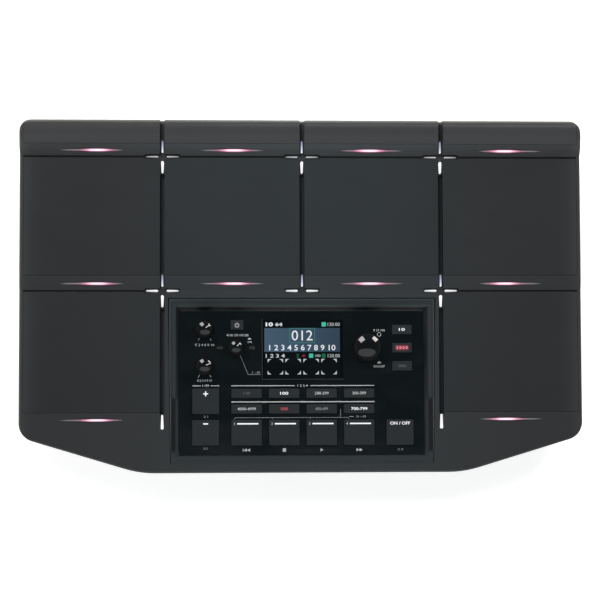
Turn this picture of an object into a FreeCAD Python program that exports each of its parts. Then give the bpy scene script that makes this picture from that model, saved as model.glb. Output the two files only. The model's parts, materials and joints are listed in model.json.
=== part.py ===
import FreeCAD, Part
import math
import os

# A table-top sampling drum pad. Sizes are in millimetres.
# World frame: +X to the player's right, +Y away from the player, +Z up, origin on the table
# under the middle of the object. The deck is drawn flat in its own frame: x across, y from the
# front edge to the rear, z out of the striking surface. The control panel has a frame of its own,
# a little less steep than the deck, with y from the panel's front edge.

Vector = FreeCAD.Vector

# Deck outline
WIDTH = 428.0
DEPTH = 268.0
DECK_SLOPE = 5.5
FRONT_HEIGHT = 38.0
FRONT_HALF = 123.0
CORNER_SLANT = 16.8
FRONT_CORNER_R = 80.0
SIDE_CORNER_R = 14.0
REAR_CORNER_R = 9.0

# Top case
SKIRT = 15.0
WALL = 3.0
EDGE_ROUND = 2.4
FRONT_PLATE = 3.0
GROOVE = 3.6
GROOVE_DEPTH = 5.0
GROOVE_END_GAP = 0.5
ROW_GAP = 1.4
BAR_ROW_DEPTH = 28.0
SKIRT_STRIP = 45.6
STRIP_DEPTH = 11.6
STRIP_RAMP = 5.9
STRIP_FOOT_R = 8.0
STRIP_BROW_R = 38.0
MAIN_LEVEL = 1.5
BAR_STRIP_DEPTH = 9.4
BAR_RAMP = 5.3
BAR_BROW = 3.7
BAR_CREST = 5.7
BAR_FOOT_R = 4.0
BAR_BROW_R = 12.0
BAR_CREST_R = 44.0
REAR_R = 3.0

# Pads and what lies under them
PAD_UNDER = 6.0
PAD_GAP = 0.15
PAD_ROUND = 0.3
FOAM = 3.0
FOAM_INSET = 1.5
CHASSIS = 1.5
CHASSIS_GAP = 1.5
SENSOR_R = 13.5
SENSOR_THICK = 0.6
BAR_SENSOR_R = 6.0

# Lights
SLIT_HALF = 24.0
SLIT_SAG = 1.1
SLIT_GAP = 0.4
SLIT_SINK = 0.35
BAR_LIGHT_Y = 4.6
STRIP_LIGHT_Y = 5.4
SKIRT_LIGHT_Y = 5.5
DASH_START = 3.3
DASH_LENGTH = 9.0
DASH_WIDE = 2.1
DASH_NARROW = 1.3
DASH_GAP = 0.35
DASH_TOP = -0.8
DASH_DEPTH = 2.5
CROSS_TOP = -1.5
CROSS_ARM = 13.4
CROSS_HALF = 1.9
SINGLE_DASH_Y = 38.5
SINGLE_DASH_LENGTH = 11.0

# Control panel: its keys set its size, and its width sets the pitch of the pads
KEY_WIDTH = 23.2
KEY_SPACE = 5.3
KEY_MIDDLE = 0.6
KEY_DEPTH = 19.4
LONG_DEPTH = 7.0
SQUARE_WIDTH = 20.6
SQUARE_SPACE = 4.5
SMALL_WIDTH = 15.2
SMALL_DEPTH = 7.3
SMALL_PITCH = 13.9
POWER_WIDTH = 10.0
POWER_DEPTH = 7.5
ROW_MARGIN = 7.5
ROW_SPACE = 4.8
SIDE_SPACE = 9.15
SMALL_SHIFT = 2.0
VOLUME_SHIFT = -0.8
VOLUME_PITCH = 28.0
WINDOW_MIDDLE = 0.7
WINDOW_WIDTH = 61.6
WINDOW_DEPTH = 45.3
WINDOW_SPACE = 7.4
WINDOW_EDGE = 6.4
KNOB_ROW_SHIFT = 1.0
METRONOME_BESIDE = 20.1
VALUE_BESIDE = 18.1
POWER_SHIFT = 0.8
POWER_UP = 17.45
PANEL_FRONT = 13.1
PANEL_SIDE = 9.1
PANEL_FLARE = -0.3
PANEL_SINK = 2.0
PANEL_DIP = 2.0
PANEL_PLATE = 2.5
PANEL_MARGIN = 1.2
PANEL_GAP = 0.15
BEZEL_LIP_FRONT = 5.6
BEZEL_LIP_REAR = 9.3
BEZEL_SIDE = 6.3
BEZEL_FLARE = 1.8
BEZEL_TO_GROOVE = 2.9
BEZEL_TO_ROW = 5.9
BEZEL_GAP = 0.5
BEZEL_GAP_FRONT = 0.1
BEZEL_FLANGE = 3.0
BEZEL_LEDGE = 2.0
BEZEL_LEDGE_GAP = 0.6
BEZEL_RIM = 0.8
BEZEL_RIM_FRONT = 5.0
BEZEL_DEEP = 12.0
STEP_DROP = 1.4
STEP_INSET_FRONT = 5.4
STEP_INSET_REAR = 5.3
STEP_INSET_SIDE = 5.8

# Buttons
BUTTON_RISE = 1.0
BUTTON_GAP = 0.35
BUTTON_ROUND = 0.4
BUTTON_CORNER_R = 0.6
BUTTON_FLANGE = 0.8
FLANGE_GAP = 0.3
FLANGE_THICK = 1.5
BUTTON_TRAVEL = 0.5
SWITCH_SIDE = 6.0
SWITCH_HEIGHT = 2.4
SWITCH_STEM_R = 1.6
SWITCH_GAP = 0.1

# Boards
PANEL_BOARD_TOP = -8.0
BOARD_THICK = 1.6
BOARD_INSET = 0.6
BOSS_R = 2.4
BOARD_SCREW_R = 1.1
BOARD_SCREW_HEAD_R = 2.2
BOARD_SCREW_HEAD = 1.4
BOARD_SCREW_GRIP = 4.0
CORNER_SCREW_SIDE = 4.0
CORNER_SCREW_EDGE = 3.6
FRONT_SCREW_EDGE = 2.6
WINDOW_SCREW_SIDE = 8.4
WINDOW_SCREW_Y = 9.0

# Rotary controls
SHAFT_R = 3.0
SHAFT_CLEARANCE = 0.05
SHAFT_SEAT_GAP = 0.02
SHAFT_BOTTOM = -6.6
SHAFT_END_GAP = 0.2
SHAFT_SHARE = 0.7
BUSH_R = 4.0
BUSH_HOLE_GAP = 0.3
BUSH_TOP = -0.3
CONTROL_SIDE = 11.0
CONTROL_TOP = -2.7
KNOB_LIFT = 0.9
KNOB_FOOT = 1.0
KNOB_TAPER = 0.7
KNOB_ROUND = 2.0
KNOB_CROWN = 26.0
KNOB_END_GAP = 0.3
POINTER = 0.8
POINTER_START = 0.2
POINTER_DEEP = 0.4
ROTOR_R = 4.6
ROTOR_GAP = 0.1
ROTOR_TOP = -4.2
ROTOR_THICK = 1.5

# Display
GLASS_SINK = 0.6
GLASS_GAP = 0.15
DISPLAY_MARGIN = 3.0
DISPLAY_BACK = -6.5

# Bottom case
FOOT_HEIGHT = 5.0
FLOOR = 3.0
BASE_INSET = 14.0
SEAM_INSET = 1.2
BASE_WALL = 2.8
BASE_CORNER_R = 4.0
BOSS_SPLIT = 16.0
POST_R = 4.5
POST_HOLE_GAP = 1.0
SCREW_R = 1.5
SCREW_HEAD_R = 3.0
SCREW_HEAD = 2.2
SCREW_GRIP = 8.0
SCREW_GAP = 0.05
SCREW_SINK = 1.5
SCREW_RECESS_R = 0.6
SCREW_SIDE = 24.0
SCREW_STRIP_Y = 6.8
SCREW_SLIT_GAP = 8.0
FRONT_SCREW_SIDE = 3.0
FRONT_SCREW_Y = 22.0

# Rear sockets
BAY_MARGIN = 14.5
BAY_FLOOR = 10.0
BAY_SHELF = 40.0
CHEEK = 3.0
PLATE = 1.5
PLATE_RECESS = 14.5
MAIN_BOARD_DEPTH = 70.0
MAIN_BOARD_SIDE = 8.0
MAIN_BOARD_GAP = 0.2
STANDOFF_R = 3.5
JACK_COUNT = 6
JACK_FIRST = -20.0
JACK_PITCH = 26.0
JACK_BORE_R = 3.2
JACK_BORE_DEPTH = 28.0
JACK_SIDE = 15.0
JACK_LENGTH = 30.0
JACK_BUSH_R = 4.8
JACK_BUSH = 6.0
JACK_NUT = 2.4
JACK_NUT_R = 7.6
MIDI_PLACES = (-88.0, -60.0)
MIDI_SIDE = 20.0
MIDI_R = 8.6
MIDI_CAVITY_R = 7.2
MIDI_CAVITY = 7.0
MIDI_LENGTH = 14.0
MIDI_PIN_R = 0.8
MIDI_PIN_CIRCLE_R = 3.6
USB_X = -118.0
USB_WIDTH = 12.0
USB_HEIGHT = 11.0
USB_LENGTH = 16.0
USB_WALL = 1.0
USB_CAVITY = 9.0
USB_TONGUE = 5.6
USB_TONGUE_THICK = 2.0
USB_TONGUE_LIFT = 6.3
DC_X = -141.0
DC_WIDTH = 9.0
DC_HEIGHT = 11.0
DC_LENGTH = 14.0
DC_BORE_R = 2.8
DC_PIN_R = 1.0
DC_CAVITY = 9.0
DC_PIN_SINK = 1.0
SOCKET_GAP = 0.3

# Underside
FOOT_R = 9.0
FOOT_CHAMFER = 1.0
FOOT_INSET = 34.0
INSERT_SPACING_X = 100.0
INSERT_SPACING_Y = 60.0
INSERT_BORE_R = 2.5
INSERT_R = 3.6
INSERT_LENGTH = 8.0
INSERT_BOSS_R = 7.0
INSERT_CAP = 0.8
INSERT_GAP = 0.02

# How far a cutting tool passes what it cuts, and the slack when an edge is picked by its place
FAR = 200.0
PASS = 1.0
PICK = 0.01

# Levels and places that follow from the sizes
HALF = WIDTH / 2
SLOPE = math.radians(DECK_SLOPE)
BAR_ROW = DEPTH - BAR_ROW_DEPTH
BAR_LEVEL = MAIN_LEVEL + BAR_BROW
CHASSIS_TOP = -PAD_UNDER - FOAM
SINK_TO_REAR = SKIRT * math.sin(SLOPE)
FRONT_Y = -(DEPTH * math.cos(SLOPE) + SINK_TO_REAR + EDGE_ROUND * math.sin(SLOPE)) / 2
REAR_Y = FRONT_Y + DEPTH * math.cos(SLOPE)
MAIN_BOARD_TOP = FOOT_HEIGHT + INSERT_LENGTH + INSERT_CAP + MAIN_BOARD_GAP + BOARD_THICK
BAY_HALF = DC_WIDTH / 2 + BAY_MARGIN - DC_X
MAIN_BOARD_HALF = BAY_HALF - MAIN_BOARD_SIDE

# Columns of the panel: the keys, then the square buttons and the knobs beside them
KEY_PITCH = KEY_WIDTH + KEY_SPACE
SIDE_COLUMN = 1.5 * KEY_PITCH + (KEY_WIDTH + SQUARE_WIDTH) / 2 + SIDE_SPACE
PANEL_HALF_FRONT = SIDE_COLUMN + SQUARE_WIDTH / 2 + PANEL_SIDE
PANEL_HALF_REAR = PANEL_HALF_FRONT + PANEL_FLARE
BEZEL_HALF_FRONT = PANEL_HALF_FRONT + BEZEL_SIDE
BEZEL_HALF_REAR = BEZEL_HALF_FRONT + BEZEL_FLARE
COLUMN_PITCH = BEZEL_HALF_REAR + BEZEL_TO_GROOVE + GROOVE / 2
LEFT_COLUMN = KEY_MIDDLE - SIDE_COLUMN
RIGHT_COLUMN = KEY_MIDDLE + SIDE_COLUMN
WINDOW_LEFT = WINDOW_MIDDLE - WINDOW_WIDTH / 2
WINDOW_RIGHT = WINDOW_MIDDLE + WINDOW_WIDTH / 2

# Rows of the panel, measured from the deck's front edge
KEY_ROW = PANEL_FRONT + ROW_MARGIN + KEY_DEPTH / 2
FUNCTION_ROW = KEY_ROW + KEY_DEPTH / 2 + ROW_SPACE + LONG_DEPTH / 2
MODE_ROW = FUNCTION_ROW + LONG_DEPTH + ROW_SPACE
UPPER_SQUARE_ROW = KEY_ROW + KEY_DEPTH + SQUARE_SPACE
WINDOW_FRONT = MODE_ROW + LONG_DEPTH / 2 + WINDOW_SPACE
WINDOW_REAR = WINDOW_FRONT + WINDOW_DEPTH
KNOB_ROW = WINDOW_FRONT + WINDOW_DEPTH / 2 + KNOB_ROW_SHIFT
PANEL_REAR = WINDOW_REAR + WINDOW_EDGE
BEZEL_FRONT = PANEL_FRONT - BEZEL_LIP_FRONT
BEZEL_REAR = PANEL_REAR + BEZEL_LIP_REAR
LOW_ROW_REAR = BEZEL_REAR + BEZEL_TO_ROW

DECK = FreeCAD.Placement(
    Vector(0, FRONT_Y, FRONT_HEIGHT), FreeCAD.Rotation(Vector(1, 0, 0), DECK_SLOPE))
PANEL = DECK * FreeCAD.Placement(
    Vector(0, PANEL_FRONT, -PANEL_SINK), FreeCAD.Rotation(Vector(1, 0, 0), -PANEL_DIP))

# Buttons: middle across, middle from the deck's front edge, width and depth
SMALL_X = RIGHT_COLUMN + SMALL_SHIFT
POWER_X = WINDOW_LEFT - METRONOME_BESIDE + POWER_SHIFT
BUTTONS = {
    "power_button": (POWER_X, KNOB_ROW + POWER_UP, POWER_WIDTH, POWER_DEPTH),
    "edit_button": (SMALL_X, KNOB_ROW + SMALL_PITCH, SMALL_WIDTH, SMALL_DEPTH),
    "write_button": (SMALL_X, KNOB_ROW, SMALL_WIDTH, SMALL_DEPTH),
    "exit_button": (SMALL_X, KNOB_ROW - SMALL_PITCH, SMALL_WIDTH, SMALL_DEPTH),
    "kit_plus_button": (LEFT_COLUMN, UPPER_SQUARE_ROW, SQUARE_WIDTH, KEY_DEPTH),
    "kit_minus_button": (LEFT_COLUMN, KEY_ROW, SQUARE_WIDTH, KEY_DEPTH),
    "sound_off_button": (RIGHT_COLUMN, KEY_ROW, SQUARE_WIDTH, KEY_DEPTH),
}
for index in range(4):
    across = KEY_MIDDLE + (index - 1.5) * KEY_PITCH
    BUTTONS[f"mode_button_{index + 1}"] = (across, MODE_ROW, KEY_WIDTH, LONG_DEPTH)
    BUTTONS[f"function_button_{index + 1}"] = (across, FUNCTION_ROW, KEY_WIDTH, LONG_DEPTH)
    BUTTONS[f"assign_button_{index + 1}"] = (across, KEY_ROW, KEY_WIDTH, KEY_DEPTH)

# Knobs: middle across, middle from the deck's front edge, radius, height and whether it is pushed
VOLUME_X = LEFT_COLUMN + VOLUME_SHIFT
KNOBS = {
    "main_volume": (VOLUME_X, KNOB_ROW + VOLUME_PITCH / 2, 7.0, 11.0, False),
    "phones": (VOLUME_X, KNOB_ROW - VOLUME_PITCH / 2, 7.0, 11.0, False),
    "metronome": (WINDOW_LEFT - METRONOME_BESIDE, KNOB_ROW, 6.4, 11.0, True),
    "value": (WINDOW_RIGHT + VALUE_BESIDE, KNOB_ROW, 11.0, 14.0, True),
}

# How far each knob's pointer line is turned from the panel's rear. The value knob has no line.
POINTERS = {"main_volume": -55.0, "phones": -70.0, "metronome": -45.0}

# Chips on the main board: middle across, distance from its front edge, width, depth and height
CHIPS = [
    (-110.0, 12.0, 14.0, 14.0, 1.6),
    (-60.0, 8.0, 22.0, 22.0, 1.8),
    (0.0, 10.0, 18.0, 12.0, 1.6),
    (40.0, 10.0, 18.0, 12.0, 1.6),
    (100.0, 8.0, 12.0, 20.0, 8.0),
]

# Screws of the panel board: middle across, middle from the deck's front edge
PANEL_SCREWS = [
    (-PANEL_HALF_REAR + CORNER_SCREW_SIDE, PANEL_REAR - CORNER_SCREW_EDGE),
    (PANEL_HALF_REAR - CORNER_SCREW_SIDE, PANEL_REAR - CORNER_SCREW_EDGE),
    (WINDOW_LEFT - WINDOW_SCREW_SIDE, WINDOW_FRONT + WINDOW_SCREW_Y),
    (WINDOW_RIGHT + WINDOW_SCREW_SIDE, WINDOW_FRONT + WINDOW_SCREW_Y),
    (-PANEL_HALF_FRONT + CORNER_SCREW_SIDE, PANEL_FRONT + FRONT_SCREW_EDGE),
    (KEY_MIDDLE, PANEL_FRONT + FRONT_SCREW_EDGE),
    (PANEL_HALF_FRONT - CORNER_SCREW_SIDE, PANEL_FRONT + FRONT_SCREW_EDGE),
]


def box(x0, x1, y0, y1, z0, z1):
    return Part.makeBox(x1 - x0, y1 - y0, z1 - z0, Vector(x0, y0, z0))


def cylinder(radius, x, y, z0, z1):
    return Part.makeCylinder(radius, z1 - z0, Vector(x, y, z0))


def rod_y(radius, x, z, y0, y1):
    return Part.makeCylinder(radius, y1 - y0, Vector(x, y0, z), Vector(0, 1, 0))


def polygon(points, z=0.0):
    corners = [Vector(x, y, z) for x, y in points]
    return Part.makePolygon(corners + corners[:1])


def prism(points, z0, z1):
    return Part.Face(polygon(points, z0)).extrude(Vector(0, 0, z1 - z0))


def place(shape, frame):
    moved = shape.copy()
    moved.Placement = frame * moved.Placement
    return moved


def save(name, shapes, frame=None):
    solids = shapes if isinstance(shapes, list) else [shapes]
    if frame is not None:
        solids = [place(solid, frame) for solid in solids]
    whole = solids[0] if len(solids) == 1 else Part.Compound(solids)
    whole.exportStep(f"parts/{name}.step")


# Outlines

def deck_corners(squeeze=1.0):
    slant_y = (HALF - FRONT_HALF) * math.tan(math.radians(CORNER_SLANT))
    front = [(-FRONT_HALF, 0), (FRONT_HALF, 0), (HALF, slant_y)]
    rear = [(HALF, DEPTH), (-HALF, DEPTH), (-HALF, slant_y)]
    return [(x, y * squeeze) for x, y in front + rear]


def inset(points, distance):
    """Moves each side of a counterclockwise polygon inwards."""
    count = len(points)
    sides = []
    for i in range(count):
        (x0, y0), (x1, y1) = points[i], points[(i + 1) % count]
        length = math.hypot(x1 - x0, y1 - y0)
        normal = (-(y1 - y0) / length, (x1 - x0) / length)
        sides.append((normal, normal[0] * x0 + normal[1] * y0 + distance))
    moved = []
    for i in range(count):
        (ax, ay), a = sides[i - 1]
        (bx, by), b = sides[i]
        cross = ax * by - ay * bx
        moved.append(((a * by - b * ay) / cross, (ax * b - bx * a) / cross))
    return moved


def corner_arc(before, corner, after, radius):
    """The start, middle and end of the arc that rounds a corner."""
    back = (before - corner).normalize()
    ahead = (after - corner).normalize()
    half_turn = back.getAngle(ahead) / 2
    reach = radius / math.tan(half_turn)
    middle = corner + (back + ahead).normalize() * (radius / math.sin(half_turn) - radius)
    return corner + back * reach, middle, corner + ahead * reach


def rounded(points, radii, z=0.0):
    """A closed wire along a polygon whose corners are rounded."""
    corners = [Vector(x, y, z) for x, y in points]
    count = len(corners)
    arcs = []
    for i in range(count):
        arcs.append(corner_arc(corners[i - 1], corners[i], corners[(i + 1) % count], radii[i]))
    edges = []
    for i in range(count):
        edges.append(Part.Arc(*arcs[i]).toShape())
        edges.append(Part.LineSegment(arcs[i][2], arcs[(i + 1) % count][0]).toShape())
    return Part.Wire(edges)


def outline(distance, z=0.0, squeeze=1.0):
    half = [FRONT_CORNER_R, SIDE_CORNER_R, REAR_CORNER_R]
    shrunk = [max(radius - distance, BASE_CORNER_R) for radius in half[:1] + half + half[:0:-1]]
    return rounded(inset(deck_corners(squeeze), distance), shrunk, z)


def outline_prism(distance, z0, z1):
    return Part.Face(outline(distance, z0)).extrude(Vector(0, 0, z1 - z0))


def trapezoid(front, rear, half_front, half_rear):
    return [(-half_front, front), (half_front, front), (half_rear, rear), (-half_rear, rear)]


# The deck's striking surface as a section from front to rear

def deck_section(sink=0.0, overhang=0.0):
    """The solid under the striking surface, lowered by a distance, over the whole width."""
    strip = LOW_ROW_REAR + ROW_GAP / 2
    bar_strip = BAR_ROW + ROW_GAP / 2
    brow = bar_strip + BAR_RAMP
    course = [
        (strip, 0.0, STRIP_FOOT_R),
        (strip + STRIP_RAMP, MAIN_LEVEL, STRIP_BROW_R),
        (bar_strip, MAIN_LEVEL, BAR_FOOT_R),
        (brow, BAR_LEVEL, BAR_BROW_R),
        ((brow + DEPTH) / 2, MAIN_LEVEL + BAR_CREST, BAR_CREST_R),
        (DEPTH, BAR_LEVEL, REAR_R),
    ]
    x = -HALF - overhang
    corners = [Vector(x, y, z - sink) for y, z, _ in course]
    front = Vector(x, -overhang, -sink)
    rear = Vector(x, DEPTH, -SKIRT)
    ends = [front] + corners + [rear]
    last = front
    edges = []
    for i, (_, _, radius) in enumerate(course):
        start, middle, finish = corner_arc(ends[i], ends[i + 1], ends[i + 2], radius)
        edges.append(Part.LineSegment(last, start).toShape())
        edges.append(Part.Arc(start, middle, finish).toShape())
        last = finish
    closing = [last, rear, Vector(x, -overhang, -SKIRT), front]
    edges += [Part.LineSegment(a, b).toShape() for a, b in zip(closing, closing[1:])]
    return Part.Face(Part.Wire(edges)).extrude(Vector(WIDTH + 2 * overhang, 0, 0))


# Pads: name, low and high x, low and high y, level of the top

def column_edges():
    """Low and high x of the four columns of pads, from left to right."""
    side = HALF - WALL - PAD_GAP
    half_groove = GROOVE / 2
    inner = COLUMN_PITCH - half_groove
    outer = COLUMN_PITCH + half_groove
    return [(-side, -outer), (-inner, -half_groove), (half_groove, inner), (outer, side)]


def pad_places():
    columns = column_edges()
    half_gap = ROW_GAP / 2
    places = {}
    for i, (x0, x1) in enumerate(columns):
        bar = (BAR_ROW + BAR_STRIP_DEPTH + PAD_GAP, DEPTH - WALL - PAD_GAP)
        main = (LOW_ROW_REAR + STRIP_DEPTH + PAD_GAP, BAR_ROW - half_gap)
        places[f"bar_pad_{i + 1}"] = (x0, x1) + bar + (BAR_LEVEL,)
        places[f"main_pad_{i + 1}"] = (x0, x1) + main + (MAIN_LEVEL,)
    low = (SKIRT_STRIP + PAD_GAP, LOW_ROW_REAR - half_gap)
    for i, (x0, x1) in enumerate((columns[0], columns[3])):
        places[f"low_pad_{i + 1}"] = (x0, x1) + low + (0.0,)
    return places


def pocket(name, spot):
    """The hole in the case for a pad, with the gap in front of the strip behind the pad."""
    x0, x1, y0, y1, _ = spot
    behind = PAD_GAP if name.startswith("bar") else ROW_GAP
    return box(x0 - PAD_GAP, x1 + PAD_GAP, y0 - PAD_GAP, y1 + behind, -FAR, FAR)


def crossings():
    """Where grooves cross: x, y, level of the case and the arms that carry a light."""
    everywhere = ("left", "right", "front", "rear")
    spots = [(x, BAR_ROW, MAIN_LEVEL, everywhere) for x in (-COLUMN_PITCH, 0.0, COLUMN_PITCH)]
    spots += [(x, LOW_ROW_REAR, 0.0, everywhere) for x in (-COLUMN_PITCH, COLUMN_PITCH)]
    spots.append((0.0, LOW_ROW_REAR, 0.0, ("left", "right", "rear")))
    return spots


TURNS = {"right": 0, "rear": 90, "left": 180, "front": 270}


def cross_notches(clearance):
    """Short slots along the arms of each crossing, as wide as the lights and their seats."""
    half = CROSS_HALF + clearance
    reach = CROSS_ARM + clearance
    slots = []
    for x, y, level, arms in crossings():
        for arm in arms:
            if arm in ("left", "right"):
                slot = box(0, reach, -half, half, CROSS_TOP + level, FAR)
                slot.rotate(Vector(0, 0, 0), Vector(0, 0, 1), TURNS[arm])
                slots.append(slot.translated(Vector(x, y, 0)))
    return slots


def make_pad(name, spot):
    x0, x1, y0, y1, level = spot
    pad = box(x0, x1, y0, y1, -PAD_UNDER, level)
    if name.startswith("bar"):
        pad = box(x0, x1, y0, y1, -PAD_UNDER, FAR).common(deck_section(overhang=PASS))
    notches = []
    for slot in cross_notches(PAD_GAP):
        deep = slot.copy()
        deep.translate(Vector(0, 0, -FAR))
        notches.append(deep.fuse(slot))
    pad = pad.cut(Part.Compound(notches))
    top_edges = [edge for edge in pad.Edges if edge.BoundBox.ZMin > level - PAD_ROUND / 2]
    return pad.makeFillet(PAD_ROUND, top_edges)


# Lights

def lens(x, y, half, sag, z0, z1):
    tips = [Vector(x - half, y, z0), Vector(x + half, y, z0)]
    edges = [
        Part.Arc(tips[0], Vector(x, y - sag, z0), tips[1]).toShape(),
        Part.Arc(tips[1], Vector(x, y + sag, z0), tips[0]).toShape(),
    ]
    return Part.Face(Part.Wire(edges)).extrude(Vector(0, 0, z1 - z0))


def light_places():
    columns = [(x0 + x1) / 2 for x0, x1 in column_edges()]
    places = []
    for x in columns:
        places.append((x, BAR_ROW + BAR_LIGHT_Y))
        places.append((x, LOW_ROW_REAR + STRIP_LIGHT_Y))
    for x in (columns[0], columns[-1]):
        places.append((x, SKIRT_STRIP - SKIRT_LIGHT_Y))
    return places


def make_pad_lights():
    skin = deck_section(sink=SLIT_SINK, overhang=PASS)
    guides = []
    for x, y in light_places():
        bottom = CHASSIS_TOP if y > SKIRT_STRIP else -FRONT_PLATE - PASS
        guides.append(lens(x, y, SLIT_HALF, SLIT_SAG, bottom, FAR).common(skin))
    return guides


def dash_outline(length, grow=0.0):
    """A long drop lying along +x: wide near the crossing, narrow at its tip."""
    wide = DASH_WIDE / 2 + grow
    narrow = DASH_NARROW / 2 + grow
    start = DASH_START + DASH_WIDE / 2
    end = DASH_START + length - DASH_NARROW / 2
    edges = [
        Part.LineSegment(Vector(start, -wide, 0), Vector(end, -narrow, 0)).toShape(),
        Part.Arc(Vector(end, -narrow, 0), Vector(end + narrow, 0, 0), Vector(end, narrow, 0)).toShape(),
        Part.LineSegment(Vector(end, narrow, 0), Vector(start, wide, 0)).toShape(),
        Part.Arc(Vector(start, wide, 0), Vector(start - wide, 0, 0), Vector(start, -wide, 0)).toShape(),
    ]
    return Part.Face(Part.Wire(edges))


def corner_dashes(grow, low, high):
    """A dash on each arm of the crossings and two single ones, between two depths."""
    dashes = []
    depth = high - low
    dash = dash_outline(DASH_LENGTH, grow).extrude(Vector(0, 0, depth))
    for x, y, level, arms in crossings():
        for arm in arms:
            turned = dash.copy()
            turned.rotate(Vector(0, 0, 0), Vector(0, 0, 1), TURNS[arm])
            dashes.append(turned.translated(Vector(x, y, low + level)))
    single = dash_outline(SINGLE_DASH_LENGTH, grow).extrude(Vector(0, 0, depth))
    single.rotate(Vector(0, 0, 0), Vector(0, 0, 1), TURNS["rear"])
    start = SINGLE_DASH_Y - SINGLE_DASH_LENGTH / 2 - DASH_START
    for x in (-COLUMN_PITCH, COLUMN_PITCH):
        dashes.append(single.translated(Vector(x, start, low)))
    return dashes


def make_corner_lights():
    return corner_dashes(0.0, DASH_TOP - DASH_DEPTH, DASH_TOP)


# Where the case screws stand, in the world frame

def case_screw_places():
    side = HALF - SCREW_SIDE
    front_side = FRONT_HALF - FRONT_SCREW_SIDE
    strip = LOW_ROW_REAR + SCREW_STRIP_Y
    beside_slit = COLUMN_PITCH / 2 + SLIT_HALF + SCREW_SLIT_GAP
    spots = []
    for sign in (-1, 1):
        spots += [(sign * side, BAR_ROW + BAR_LIGHT_Y), (sign * side, strip)]
        spots += [(sign * beside_slit, strip), (sign * front_side, FRONT_SCREW_Y)]
    return [(x, FRONT_Y + y * math.cos(SLOPE)) for x, y in spots]


def round_rim(outer):
    """Rounds the border of the striking surface: from the front edge it runs on all the way round."""
    front = [edge for edge in outer.Edges if edge.CenterOfMass.y < PICK and edge.BoundBox.ZMin > -PICK]
    return outer.makeFillet(EDGE_ROUND, [edge for edge in front if edge.BoundBox.XLength > FRONT_HALF])


def make_top_case():
    outer = round_rim(deck_section().common(outline_prism(0, -SKIRT, FAR)))
    case = outer.cut(outline_prism(WALL, -SKIRT, CHASSIS_TOP))
    skirt_space = outline_prism(WALL, CHASSIS_TOP, -FRONT_PLATE)
    case = case.cut(skirt_space.common(box(-HALF, HALF, 0, SKIRT_STRIP - WALL, -FAR, FAR)))

    # the bezel's seat and the opening under it
    room = inset(bezel_frame(BEZEL_GAP - BEZEL_GAP_FRONT), -BEZEL_GAP)
    case = case.cut(prism(room, -BEZEL_FLANGE, FAR))
    case = case.cut(prism(inset(bezel_frame(), BEZEL_LEDGE), -FAR, FAR))

    pads = pad_places()
    case = case.cut(Part.Compound([pocket(name, spot) for name, spot in pads.items()]))

    # vertical grooves: the outer two run on beside the panel
    lowered = deck_section(sink=GROOVE_DEPTH, overhang=PASS)
    outer_start = SINGLE_DASH_Y + SINGLE_DASH_LENGTH / 2 + GROOVE_END_GAP
    for x, start in ((-COLUMN_PITCH, outer_start), (0.0, LOW_ROW_REAR), (COLUMN_PITCH, outer_start)):
        slot = box(x - GROOVE / 2, x + GROOVE / 2, start, DEPTH + PASS, -SKIRT, FAR)
        case = case.cut(slot.cut(lowered))

    # seats of the corner lights
    seats = []
    rib = GROOVE / 2 - PAD_GAP
    for x, y, level, arms in crossings():
        for arm in arms:
            wide = CROSS_HALF if arm in ("left", "right") else rib
            seat = box(0, CROSS_ARM, -wide, wide, CHASSIS_TOP, CROSS_TOP + level)
            seat.rotate(Vector(0, 0, 0), Vector(0, 0, 1), TURNS[arm])
            seats.append(seat.translated(Vector(x, y, 0)))
    case = case.multiFuse(seats)
    case = case.cut(Part.Compound(cross_notches(0.0)))
    case = case.cut(Part.Compound(corner_dashes(DASH_GAP, DASH_TOP - DASH_DEPTH, FAR)))

    slits = []
    for x, y in light_places():
        slits.append(lens(x, y, SLIT_HALF + SLIT_GAP, SLIT_SAG + SLIT_GAP, -SKIRT, FAR))
    case = case.cut(Part.Compound(slits))
    case = place(case.removeSplitter(), DECK)

    # posts for the case screws, upright in the world
    for x, y in case_screw_places():
        under = CHASSIS_TOP if y - FRONT_Y > SKIRT_STRIP else -FRONT_PLATE
        limit = place(outline_prism(WALL, -FAR, under), DECK)
        case = case.fuse(cylinder(POST_R, x, y, BOSS_SPLIT, FAR).common(limit))
        case = case.cut(cylinder(SCREW_R + SCREW_GAP, x, y, 0, BOSS_SPLIT + SCREW_GRIP))
    return case


def make_foam():
    edge = FOAM_INSET
    sheets = []
    for x0, x1, y0, y1, _ in pad_places().values():
        sheets.append(box(x0 + edge, x1 - edge, y0 + edge, y1 - edge, CHASSIS_TOP, -PAD_UNDER))
    return sheets


def make_chassis():
    plate = outline_prism(WALL + CHASSIS_GAP, CHASSIS_TOP - CHASSIS, CHASSIS_TOP)
    plate = plate.cut(box(-HALF, HALF, -PASS, SKIRT_STRIP - WALL, -FAR, FAR))
    bay = inset(bezel_frame(), -CHASSIS_GAP)
    plate = place(plate.cut(prism(bay, -FAR, FAR)), DECK)
    for x, y in case_screw_places():
        plate = plate.cut(cylinder(POST_R + POST_HOLE_GAP, x, y, 0, FAR))
    return plate


def make_sensors():
    top = CHASSIS_TOP - CHASSIS
    discs = []
    for name, (x0, x1, y0, y1, _) in pad_places().items():
        radius = BAR_SENSOR_R if name.startswith("bar") else SENSOR_R
        discs.append(cylinder(radius, (x0 + x1) / 2, (y0 + y1) / 2, top - SENSOR_THICK, top))
    return discs


# Control panel. Its own frame has y from the panel's front edge.

def on_panel(y):
    return y - PANEL_FRONT


def panel_outline(margin):
    edge = trapezoid(0, on_panel(PANEL_REAR), PANEL_HALF_FRONT, PANEL_HALF_REAR)
    return inset(edge, -margin)


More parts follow.
